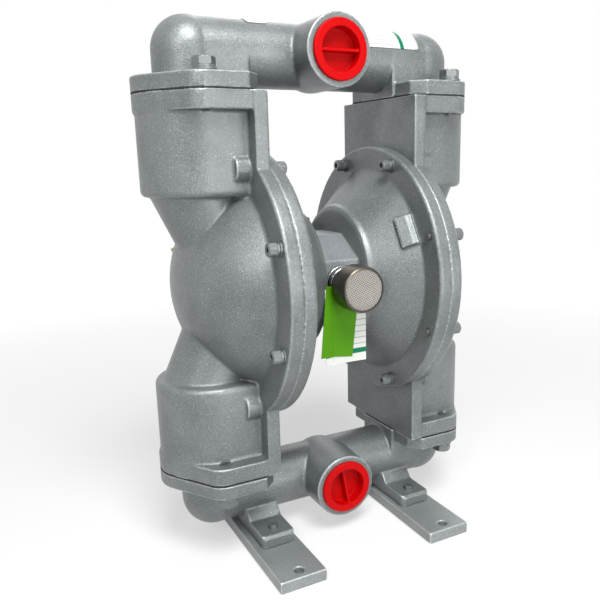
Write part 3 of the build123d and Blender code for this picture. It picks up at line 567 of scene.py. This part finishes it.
castings = [
    ("outletCasting", "outlet_manifold"),
    ("inletCasting", "inlet_manifold"),
    ("leftChamber", "fluid_cap_left"),
    ("rightChamber", "fluid_cap_right"),
    ("leftAirCap", "air_cap_left"),
    ("rightAirCap", "air_cap_right"),
]
for pieceName, node in castings:
    castSkin(pieceName, node, castAluminium, "pump", "cast_aluminium")
castSkin("centerCasting", "center_body", centerCasting, "pump", "center_casting", skin["finerVoxel"])
for side in sides:
    bar, endCap = "foot_" + side, "valve_end_cap_" + side
    castSkin(side + "FootBar", bar, footSteel, "pump", "foot_steel", skin["finerVoxel"])
    castSkin(side + "EndCap", endCap, footSteel, "pump", "machined_aluminium", skin["endCapVoxel"])
castSkin("airValve", "valve_block", footSteel, "pump", "machined_aluminium", skin["finerVoxel"])
for row in ("outlet", "inlet"):
    plug = row + "_plug"
    castSkin(row + "Cap", plug, redPlastic, plug, "red_plastic", skin["plugVoxel"])
print("cast skins made")


# Fasteners: each kind is one tree that sets its screws on points


def solidBoxes(node):
    # Corners of each separate solid of a node
    shape = merged(node)
    shape.verts.index_update()
    seen, boxes = set(), []
    for first in shape.verts:
        if first.index in seen:
            continue
        seen.add(first.index)
        front, found = [first], []
        while front:
            vertex = front.pop()
            found.append(vertex.co.copy())
            for edge in vertex.link_edges:
                other = edge.other_vert(vertex)
                if other.index not in seen:
                    seen.add(other.index)
                    front.append(other)
        places = np.array(found)
        boxes.append((Vector(places.min(0)), Vector(places.max(0))))
    shape.free()
    return boxes


def headPlaces(node, axis, outward):
    # (middle of the head's outer face, direction the head points) for every screw of a node
    middle = (cadBox[0] + cadBox[1]) / 2
    found = []
    for low, high in solidBoxes(node):
        centre = (low + high) / 2
        sign = 1 if (centre[axis] > middle[axis]) == outward else -1
        aim = Vector((0, 0, 0))
        aim[axis] = sign
        centre[axis] = high[axis] if sign > 0 else low[axis]
        found.append((centre, aim))
    return found


def pointsPiece(name, places):
    mesh = bpy.data.meshes.new(name)
    mesh.from_pydata([tuple(p) for p, aim in places], [], [])
    aims = mesh.attributes.new("aim", "FLOAT_VECTOR", "POINT")
    for item, (p, aim) in zip(aims.data, places):
        item.vector = aim
    return addObject(name, mesh)


def grow(piece, tree, values, sharpAngle=28.0):
    # Runs a geometry tree on the piece and keeps its result as a plain mesh
    modifier = piece.modifiers.new(tree.name, "NODES")
    modifier.node_group = tree
    for item in tree.interface.items_tree:
        if item.item_type == "SOCKET" and item.in_out == "INPUT" and item.name in values:
            modifier[item.identifier] = values[item.name]
    mesh = baked(piece)
    mesh.shade_smooth()
    mesh.set_sharp_from_angle(angle=math.radians(sharpAngle))
    return piece


def lengths(*labels):
    return [(label, "Float", 0.001) for label in labels]


screwShape = {
    "ringSteps": 40,
    "ringCorner": 0.16,  # of the ring's thickness
    "split": 350.0,  # degrees of a split washer
    "shankSides": 20,
    "hexSides": 48,
    "hexRings": 10,
    "hexTop": 0.95,  # of half the width across flats
    "hexSlope": 1.73,  # widening of the chamfer per depth
    "hexPlay": 1.04,  # washer holes, of the shank
    "knurls": 72,
    "knurlDepth": 0.035,  # of the head's radius
    "knurlBevel": 0.12,  # of the head's height
    "bevelSides": 36,
    "socketReach": 0.53,  # of the head's radius
    "socketPlay": 1.05,
}


def newShapeTree(name, inputs):
    given = [("Places", "Geometry", None)] + inputs + [("Seed", "Int", 7), ("Material", "Material", None)]
    return newGroup(name, "GeometryNodeTree", given, [("Geometry", "Geometry")])


def shaped(tree, mesh, translation=(0, 0, 0), rotation=(0, 0, 0), scale=(1, 1, 1)):
    places = {"Geometry": mesh, "Translation": translation, "Rotation": rotation, "Scale": scale}
    return put(tree, "GeometryNodeTransform", places).outputs[0]


def upTo(tree, z):
    return put(tree, "ShaderNodeCombineXYZ", {2: z}).outputs[0]


def ringOf(tree, outer, inner, thickness, low, sweep=None):
    # A ring of rectangular section; a sweep under a full turn leaves it split
    middle = calc(tree, "MULTIPLY", calc(tree, "ADD", outer, inner), 0.5)
    width = calc(tree, "SUBTRACT", outer, inner)
    if sweep is None:
        circle = {"Resolution": screwShape["ringSteps"], "Radius": middle}
        path = put(tree, "GeometryNodeCurvePrimitiveCircle", circle).outputs[0]
    else:
        arc = {"Resolution": screwShape["ringSteps"], "Radius": middle, "Sweep Angle": sweep}
        path = put(tree, "GeometryNodeCurveArc", arc).outputs[0]
    outline = {"Width": width, "Height": thickness}
    section = put(tree, "GeometryNodeCurvePrimitiveQuadrilateral", outline).outputs[0]
    corner = calc(tree, "MULTIPLY", thickness, screwShape["ringCorner"])
    section = put(tree, "GeometryNodeFilletCurve", {"Curve": section, "Radius": corner}).outputs[0]
    sweepNode = {"Curve": path, "Profile Curve": section, "Fill Caps": sweep is not None}
    ring = put(tree, "GeometryNodeCurveToMesh", sweepNode).outputs[0]
    return shaped(tree, ring, upTo(tree, calc(tree, "MULTIPLY_ADD", thickness, 0.5, low)))


def cylinder(tree, radius, height, low, sides=24):
    sizes = {"Vertices": sides, "Radius": radius, "Depth": height}
    mesh = put(tree, "GeometryNodeMeshCylinder", sizes).outputs[0]
    return shaped(tree, mesh, upTo(tree, calc(tree, "MULTIPLY_ADD", height, 0.5, low)))


def joined(tree, *meshes):
    node = tree.nodes.new("GeometryNodeJoinGeometry")
    for mesh in meshes:
        tree.links.new(mesh, node.inputs[0])
    return node.outputs[0]


def setOnPoints(tree, given, out, mesh, turnLimit):
    # Stands a copy on each point along its aim, turned by chance about itself
    aim = put(tree, "GeometryNodeInputNamedAttribute", {"Name": "aim"}, data_type="FLOAT_VECTOR").outputs[0]
    stand = put(tree, "FunctionNodeAlignRotationToVector", {"Vector": aim}, axis="Z").outputs[0]
    copies = {"Points": given["Places"], "Instance": mesh, "Rotation": stand}
    placed = put(tree, "GeometryNodeInstanceOnPoints", copies).outputs[0]
    chance = put(tree, "FunctionNodeRandomValue", {"Seed": given["Seed"]}, data_type="FLOAT_VECTOR")
    chance.inputs[0].default_value = (0, 0, 0)
    chance.inputs[1].default_value = (0, 0, turnLimit)
    turning = {"Instances": placed, "Rotation": chance.outputs[0]}
    turned = put(tree, "GeometryNodeRotateInstances", turning).outputs[0]
    finishTree(tree, given, out, turned)


def finishTree(tree, given, out, geometry):
    real = put(tree, "GeometryNodeRealizeInstances", {"Geometry": geometry}).outputs[0]
    painting = {"Geometry": real, "Material": given["Material"]}
    tree.links.new(put(tree, "GeometryNodeSetMaterial", painting).outputs[0], out["Geometry"])


def hexHead(tree, flats, height):
    # A hexagonal head hanging below zero, with the round chamfer that turning leaves on its top corners
    steps = {"Vertices": screwShape["hexSides"], "Side Segments": screwShape["hexRings"]}
    unit = {**steps, "Radius": 1.0, "Depth": 1.0}
    drum = put(tree, "GeometryNodeMeshCylinder", unit, fill_type="TRIANGLE_FAN").outputs[0]
    position = put(tree, "GeometryNodeInputPosition").outputs[0]
    x, y, z = put(tree, "ShaderNodeSeparateXYZ", {0: position}).outputs
    fromTop = calc(tree, "SUBTRACT", 0.5, z, clamp=True)
    down = calc(tree, "MULTIPLY", calc(tree, "POWER", fromTop, 2.0), height)
    angle = calc(tree, "ADD", calc(tree, "ARCTAN2", y, x), 2 * math.pi)
    inSide = calc(tree, "SUBTRACT", calc(tree, "MODULO", angle, math.pi / 3), math.pi / 6)
    apothem = calc(tree, "MULTIPLY", flats, 0.5)
    toSide = calc(tree, "DIVIDE", apothem, calc(tree, "COSINE", inSide))
    topRound = calc(tree, "MULTIPLY", apothem, screwShape["hexTop"])
    toCone = calc(tree, "MULTIPLY_ADD", down, screwShape["hexSlope"], topRound)
    radius = calc(tree, "MINIMUM", toSide, toCone)
    flat = [calc(tree, "MULTIPLY", value, radius) for value in (x, y)]
    hanging = {0: flat[0], 1: flat[1], 2: calc(tree, "MULTIPLY", down, -1.0)}
    place = put(tree, "ShaderNodeCombineXYZ", hanging).outputs[0]
    return put(tree, "GeometryNodeSetPosition", {"Geometry": drum, "Position": place}).outputs[0]


underHeadLabels = ("Shank Radius", "Shank", "Washer Radius", "Washer", "Spring Radius", "Spring")


def underHead(tree, given, play):
    # Split washer, flat washer and shank below the head
    head = calc(tree, "MULTIPLY", given["Head"], -1.0)
    springLow = calc(tree, "SUBTRACT", head, given["Spring"])
    washerLow = calc(tree, "SUBTRACT", springLow, given["Washer"])
    hole = calc(tree, "MULTIPLY", given["Shank Radius"], play)
    split = math.radians(screwShape["split"])
    spring = ringOf(tree, given["Spring Radius"], hole, given["Spring"], springLow, split)
    flat = ringOf(tree, given["Washer Radius"], hole, given["Washer"], washerLow)
    shankLow = calc(tree, "SUBTRACT", head, given["Shank"])
    sizes = (given["Shank Radius"], given["Shank"], shankLow)
    return spring, flat, cylinder(tree, *sizes, screwShape["shankSides"])


def makeHexBoltTree():
    # Points sit on the heads' outer faces
    tree, given, out = newShapeTree("hexBolt", lengths("Flats", "Head", *underHeadLabels))
    rest = underHead(tree, given, screwShape["hexPlay"])
    whole = joined(tree, hexHead(tree, given["Flats"], given["Head"]), *rest)
    setOnPoints(tree, given, out, whole, math.pi)
    return tree


def knurledBarrel(tree, radius, height, low):
    barrel = cylinder(tree, radius, height, low, screwShape["knurls"])
    odd = calc(tree, "MODULO", put(tree, "GeometryNodeInputIndex").outputs[0], 2.0)
    squeeze = calc(tree, "MULTIPLY_ADD", odd, -screwShape["knurlDepth"], 1.0)
    position = put(tree, "GeometryNodeInputPosition").outputs[0]
    factor = put(tree, "ShaderNodeCombineXYZ", {0: squeeze, 1: squeeze, 2: 1.0}).outputs[0]
    knurl = put(tree, "ShaderNodeVectorMath", {0: position, 1: factor}, operation="MULTIPLY").outputs[0]
    return put(tree, "GeometryNodeSetPosition", {"Geometry": barrel, "Position": knurl}).outputs[0]


def makeSocketScrewTree():
    # Points sit on the heads' outer faces: a knurled round head with a bevel and a hexagon socket
    labels = ("Head Radius", "Head", "Socket") + underHeadLabels
    tree, given, out = newShapeTree("socketScrew", lengths(*labels))
    bottom = calc(tree, "MULTIPLY", given["Head"], -1.0)
    rim = calc(tree, "MULTIPLY", given["Head"], screwShape["knurlBevel"])
    barrelHeight = calc(tree, "SUBTRACT", given["Head"], rim)
    barrel = knurledBarrel(tree, given["Head Radius"], barrelHeight, bottom)
    nose = calc(tree, "SUBTRACT", given["Head Radius"], rim)
    coneSizes = {
        "Vertices": screwShape["bevelSides"],
        "Radius Top": nose,
        "Radius Bottom": given["Head Radius"],
        "Depth": rim,
    }
    cone = put(tree, "GeometryNodeMeshCone", coneSizes).outputs[0]
    cone = shaped(tree, cone, upTo(tree, calc(tree, "MULTIPLY", rim, -1.0)))
    hexRadius = calc(tree, "MULTIPLY", given["Head Radius"], screwShape["socketReach"])
    deep = calc(tree, "MULTIPLY", given["Socket"], 2.0)
    tool = cylinder(tree, hexRadius, deep, calc(tree, "MULTIPLY", given["Socket"], -1.0), 6)
    union = tree.nodes.new("GeometryNodeMeshBoolean")
    union.operation = "UNION"
    tree.links.new(barrel, union.inputs[1])
    tree.links.new(cone, union.inputs[1])
    head = tree.nodes.new("GeometryNodeMeshBoolean")
    head.operation = "DIFFERENCE"
    tree.links.new(union.outputs[0], head.inputs[0])
    tree.links.new(tool, head.inputs[1])
    rest = underHead(tree, given, screwShape["socketPlay"])
    setOnPoints(tree, given, out, joined(tree, head.outputs[0], *rest), math.pi)
    return tree


hexBoltTree = makeHexBoltTree()
socketScrewTree = makeSocketScrewTree()

manifoldBolt = {
    "Flats": 0.019,
    "Head": 0.0075,
    "Shank Radius": 0.006,
    "Shank": 0.038,
    "Washer Radius": 0.012,
    "Washer": 0.0022,
    "Spring Radius": 0.0105,
    "Spring": 0.0026,
    "Material": zincPlate,
}
footBolt = {
    "Flats": 0.010,
    "Head": 0.004,
    "Shank Radius": 0.003,
    "Shank": 0.026,
    "Washer Radius": 0.0045,
    "Washer": 0.0001,
    "Spring Radius": 0.0045,
    "Spring": 0.0001,
    "Material": zincPlate,
}
discScrew = {
    "Head Radius": 0.0065,
    "Head": 0.008,
    "Socket": 0.004,
    "Shank Radius": 0.004,
    "Shank": 0.0356,
    "Washer Radius": 0.008,
    "Washer": 0.002,
    "Spring Radius": 0.007,
    "Spring": 0.0026,
    "Material": zincPlate,
}


def setScrews(name, places, tree, values, *replaced):
    finishPiece(grow(pointsPiece(name, places), tree, values), "pump", "zinc_steel", *replaced)


def makeFasteners():
    bolted = ("manifold_bolts", "manifold_washers")
    setScrews("manifoldBolts", headPlaces("manifold_bolts", 2, True), hexBoltTree, manifoldBolt, *bolted)
    places = [(p, Vector((0, 0, 1))) for p, aim in headPlaces("foot_bolts", 2, False)]
    for p, aim in places:
        p.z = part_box("foot_bolts")[1].z
    setScrews("footBolts", places, hexBoltTree, footBolt, "foot_bolts")
    places = headPlaces("fluid_side_screws", 0, True) + headPlaces("air_side_screws", 0, False)
    screwed = ("fluid_side_screws", "air_side_screws", "disc_washers", "disc_spring_washers")
    setScrews("discScrews", places, socketScrewTree, discScrew, *screwed)


makeFasteners()
print("fasteners set")


# Wire cloth of the muffler's face

cloth = {
    "Radius": 0.0208,
    "Pitch": 0.0020,
    "Wire": 0.00042,
    "Turn": 58.0,
    "Material": wireSteel,
}
weave = {
    "wave": 0.9,  # of the wire's radius, how far each wire swings
    "steps": 4.0,  # to each pitch
    "sides": 6,
    "sharp": 60.0,
    "leastSquare": 1e-7,  # of half a wire's length
}


def makeClothTree():
    # Two crossing families of wires, each waving over and under the other, cut to a round
    inputs = lengths("Radius", "Pitch", "Wire") + [("Turn", "Float", 0.0)]
    tree, given, out = newShapeTree("wireCloth", inputs)
    wave = calc(tree, "MULTIPLY", given["Wire"], weave["wave"])
    count = calc(tree, "FLOOR", calc(tree, "DIVIDE", given["Radius"], given["Pitch"]))
    total = calc(tree, "MULTIPLY_ADD", count, 2.0, 1.0)
    first = calc(tree, "MULTIPLY", calc(tree, "MULTIPLY", count, given["Pitch"]), -1.0)
    start = put(tree, "ShaderNodeCombineXYZ", {1: first}).outputs[0]
    step = put(tree, "ShaderNodeCombineXYZ", {1: given["Pitch"]}).outputs[0]
    rowSizes = {"Count": total, "Start Location": start, "Offset": step}
    rows = put(tree, "GeometryNodeMeshLine", rowSizes).outputs[0]
    place = put(tree, "GeometryNodeInputPosition").outputs[0]
    axes = put(tree, "ShaderNodeSeparateXYZ", {0: place}).outputs
    square = [calc(tree, "POWER", value, 2.0) for value in (given["Radius"], axes[1])]
    least = calc(tree, "MAXIMUM", calc(tree, "SUBTRACT", *square), weave["leastSquare"])
    half = calc(tree, "SQRT", least)
    stretch = put(tree, "ShaderNodeCombineXYZ", {0: half, 1: 1.0, 2: 1.0}).outputs[0]
    unit = put(tree, "GeometryNodeCurvePrimitiveLine", {"Start": (-1, 0, 0), "End": (1, 0, 0)}).outputs[0]
    copies = {"Points": rows, "Instance": unit, "Scale": stretch}
    lines = put(tree, "GeometryNodeInstanceOnPoints", copies).outputs[0]
    lines = put(tree, "GeometryNodeRealizeInstances", {"Geometry": lines}).outputs[0]
    cutting = {"Curve": lines, "Length": calc(tree, "DIVIDE", given["Pitch"], weave["steps"])}
    fine = put(tree, "GeometryNodeResampleCurve", cutting, mode="LENGTH").outputs[0]
    perPitch = calc(tree, "DIVIDE", math.pi, given["Pitch"])
    turns = [calc(tree, "COSINE", calc(tree, "MULTIPLY", axis, perPitch)) for axis in (axes[0], axes[1])]
    height = calc(tree, "MULTIPLY", calc(tree, "MULTIPLY", *turns), wave)
    wires = []
    for sign, angle in ((1.0, 0.0), (-1.0, math.pi / 2)):
        rise = upTo(tree, calc(tree, "MULTIPLY", height, sign))
        waved = put(tree, "GeometryNodeSetPosition", {"Geometry": fine, "Offset": rise}).outputs[0]
        circle = {"Resolution": weave["sides"], "Radius": given["Wire"]}
        section = put(tree, "GeometryNodeCurvePrimitiveCircle", circle).outputs[0]
        tube = {"Curve": waved, "Profile Curve": section, "Fill Caps": True}
        wire = put(tree, "GeometryNodeCurveToMesh", tube).outputs[0]
        wires.append(shaped(tree, wire, rotation=(0, 0, angle)))
    turn = put(tree, "ShaderNodeCombineXYZ", {2: calc(tree, "RADIANS", given["Turn"])}).outputs[0]
    setOnPoints(tree, given, out, shaped(tree, joined(tree, *wires), rotation=turn), 0.0)
    return tree


def makeWireCloth():
    low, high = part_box("muffler_mesh")
    middle = (low + high) / 2
    front = Vector((middle.x, low.y + cloth["Wire"] * 2, middle.z))
    middlePoint = pointsPiece("wireCloth", [(front, Vector((0, -1, 0)))])
    piece = grow(middlePoint, makeClothTree(), cloth, weave["sharp"])
    finishPiece(piece, "pump", "muffler_wire", "muffler_mesh")


makeWireCloth()
print("wire cloth woven")


# Finishes of the parts that stay as they are


def bothSides(*stems):
    return [f"{stem}_{side}" for stem in stems for side in sides]


finishes = [
    (blackRubber, bothSides("diaphragm", "outlet_ball", "inlet_ball") + ["rod_seals", "seat_seals"]),
    (gasketSheet, ["flange_gaskets", "valve_gasket"]),
    (fibreSheet, ["body_gaskets"]),
    (seatPlastic, bothSides("outlet_cage", "inlet_cage") + ["valve_seats"]),
    (turnedAluminium, bothSides("inner_plate", "outer_plate")),
    (hardChrome, ["connecting_rod", "pilot_rod", "valve_spool"]),
    (bushBronze, ["rod_bushes", "pilot_bushes", "valve_sleeve"]),
    (zincPlate, ["plate_screws", "body_screws", "valve_bolts", "end_cap_screws", "earth_terminal"]),
    (brightChrome, ["muffler_fitting"]),
    (bellSteel, ["muffler_cap"]),
    (sootyFelt, ["muffler_core"]),
]
for material, names in finishes:
    for node in names:
        coat(node, material)

prints = {
    "white": (0.66, 0.68, 0.64),
    "lime": (0.07, 0.25, 0.0),
    "green": (0.0, 0.15, 0.07),
    "grey": (0.36, 0.38, 0.37),
    "sleeve": (0.56, 0.57, 0.10),
    "cardBand": (0.2160, 0.2215),
    "cardLines": (0.226, 0.290, 0.0066),
    "line": 0.0011,
}


def ruledLines(axis, low, high, step, *limits):
    # Faint ruled lines where small print would be
    count = int((high - low) / step) + 1
    starts = [low + step * k for k in range(count)]
    return [([(axis, start, start + prints["line"]), *limits], prints["grey"]) for start in starts]


cardBands = [([("Z", *prints["cardBand"])], prints["green"])] + ruledLines("Z", *prints["cardLines"])
coat("white_card", makePrinted("whiteCard", prints["white"], cardBands, roughness=0.5))
coat("green_card", makePrinted("limeCard", prints["lime"], [], roughness=0.6))
coat("earth_sleeve", makePrinted("earthSleeve", prints["sleeve"], [], roughness=0.45))


# Plain stickers on the outlet pipe

stickers = {
    "pipe": 0.033,
    "clear": 0.0004,
    "thickness": 0.0002,
    "corner": 0.003,
    "rows": 48,
    "columns": 12,
    # along the pipe in metres, round it in degrees up from the front
    "large": {"along": (0.045, 0.1195), "angles": (18.5, 110.0)},
    "small": {"along": (-0.079, -0.056), "angles": (57.0, 95.0)},
    "stripe": (0.095, 0.100),
    "marks": (0.541, 0.556, 0.005),
    "marked": (0.052, 0.088),
}


def makeSticker(name, material):
    # A thin film bent round the pipe, with rounded corners
    values = stickers[name]
    low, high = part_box("outlet_plug")
    axisZ = (low.z + high.z) / 2
    radius = stickers["pipe"] + stickers["clear"]
    first, last = values["along"]
    start, end = (math.radians(angle) for angle in values["angles"])
    rows, columns, corner = stickers["rows"], stickers["columns"], stickers["corner"]
    shape = bmesh.new()
    grid = []
    for row in range(rows + 1):
        angle = start + (end - start) * row / rows
        fromEnd = min(angle - start, end - angle) * radius
        short = max(corner - fromEnd, 0)
        inset = corner - math.sqrt(corner**2 - short**2)
        y, z = -radius * math.cos(angle), axisZ + radius * math.sin(angle)
        step = (last - first - 2 * inset) / columns
        places = [first + inset + step * k for k in range(columns + 1)]
        grid.append([shape.verts.new((x, y, z)) for x in places])
    for lower, upper in zip(grid, grid[1:]):
        for k in range(columns):
            shape.faces.new((lower[k], lower[k + 1], upper[k + 1], upper[k]))
    mesh = bpy.data.meshes.new(name + "Sticker")
    shape.to_mesh(mesh)
    shape.free()
    piece = addObject(name + "Sticker", mesh, material)
    film = piece.modifiers.new("film", "SOLIDIFY")
    film.thickness = stickers["thickness"]
    film.offset = 1.0
    baked(piece).shade_smooth()
    finishPiece(piece, "pump", "white_card")


stripe = [([("X", *stickers["stripe"])], prints["green"])]
marks = ruledLines("Z", *stickers["marks"], ("X", *stickers["marked"]))
stickerLook = makePrinted("whiteFilm", prints["white"], stripe + marks, roughness=0.35)
for name in ("large", "small"):
    makeSticker(name, stickerLook)
print("cards and stickers made")


# Floor, world and lights

light = {
    "ambient": 0.15,
    "target": (0, 0, 0.28),
    "key": {"place": (-0.2, -1.0, 1.75), "size": 0.8, "power": 38.0},
    "fill": {"place": (0.3, -1.9, 0.3), "size": 1.1, "power": 17.0},
    "side": {"place": (-1.0, -1.0, 1.05), "size": 0.3, "power": 6.0},
    "rim": {"place": (0.9, 1.2, 1.4), "size": 1.2, "power": 8.0},
}


def seenDirectly(tree):
    rays = put(tree, "ShaderNodeLightPath").outputs
    either = calc(tree, "MAXIMUM", rays["Is Camera Ray"], rays["Is Glossy Ray"])
    return calc(tree, "MAXIMUM", either, rays["Is Transmission Ray"])


def makeWorld():
    world = bpy.data.worlds.new("studio")
    scene.world = world
    world.use_nodes = True
    tree = world.node_tree
    background = tree.nodes["Background"]
    background.inputs["Color"].default_value = (1, 1, 1, 1)
    level = between(tree, seenDirectly(tree), light["ambient"], 1.0)
    tree.links.new(level, background.inputs["Strength"])


ground = {
    "reach": 4.0,
    "below": 0.0002,
    "colour": 0.86,
    "roughness": 0.9,
    "specular": 0.1,
    "fade": (0.35, 1.3),
    "white": 0.5,  # least share of plain white, which grows to 1 far away
}


def makeFloor():
    mesh = bpy.data.meshes.new("floor")
    reach = ground["reach"]
    corners = [(-reach, -reach, 0), (reach, -reach, 0), (reach, reach, 0), (-reach, reach, 0)]
    mesh.from_pydata(corners, [], [(0, 1, 2, 3)])
    floor = addObject("floor", mesh)
    floor.location.z = -ground["below"]
    dull = {"Roughness": ground["roughness"], "Specular_IOR_Level": ground["specular"]}
    material, tree, shader, place = newMaterial("paleFloor", **dull)
    shader.inputs["Base Color"].default_value = grey(ground["colour"])
    glow = put(tree, "ShaderNodeEmission", {"Color": (1, 1, 1, 1), "Strength": 1.0}).outputs[0]
    away = put(tree, "ShaderNodeVectorMath", {0: place}, operation="LENGTH").outputs["Value"]
    fade = ramp(tree, away, *ground["fade"])
    share = calc(tree, "MULTIPLY_ADD", fade, 1 - ground["white"], ground["white"], clamp=True)
    share = calc(tree, "MULTIPLY", share, seenDirectly(tree))
    mixed = put(tree, "ShaderNodeMixShader", {0: share, 1: shader.outputs[0], 2: glow}).outputs[0]
    tree.links.new(mixed, tree.nodes["Material Output"].inputs["Surface"])
    mesh.materials.append(material)


def makeLamp(name):
    values = light[name]
    data = bpy.data.lights.new(name, "AREA")
    data.shape = "SQUARE"
    data.size = values["size"]
    data.energy = values["power"]
    lamp = bpy.data.objects.new(name, data)
    scene.collection.objects.link(lamp)
    lamp.location = values["place"]
    aim = Vector(light["target"]) - lamp.location
    lamp.rotation_mode = "QUATERNION"
    lamp.rotation_quaternion = aim.to_track_quat("-Z", "Y")


makeWorld()
makeFloor()
for lampName in ("key", "fill", "side", "rim"):
    makeLamp(lampName)
scene.view_settings.view_transform = "Standard"
print("floor and lights set")
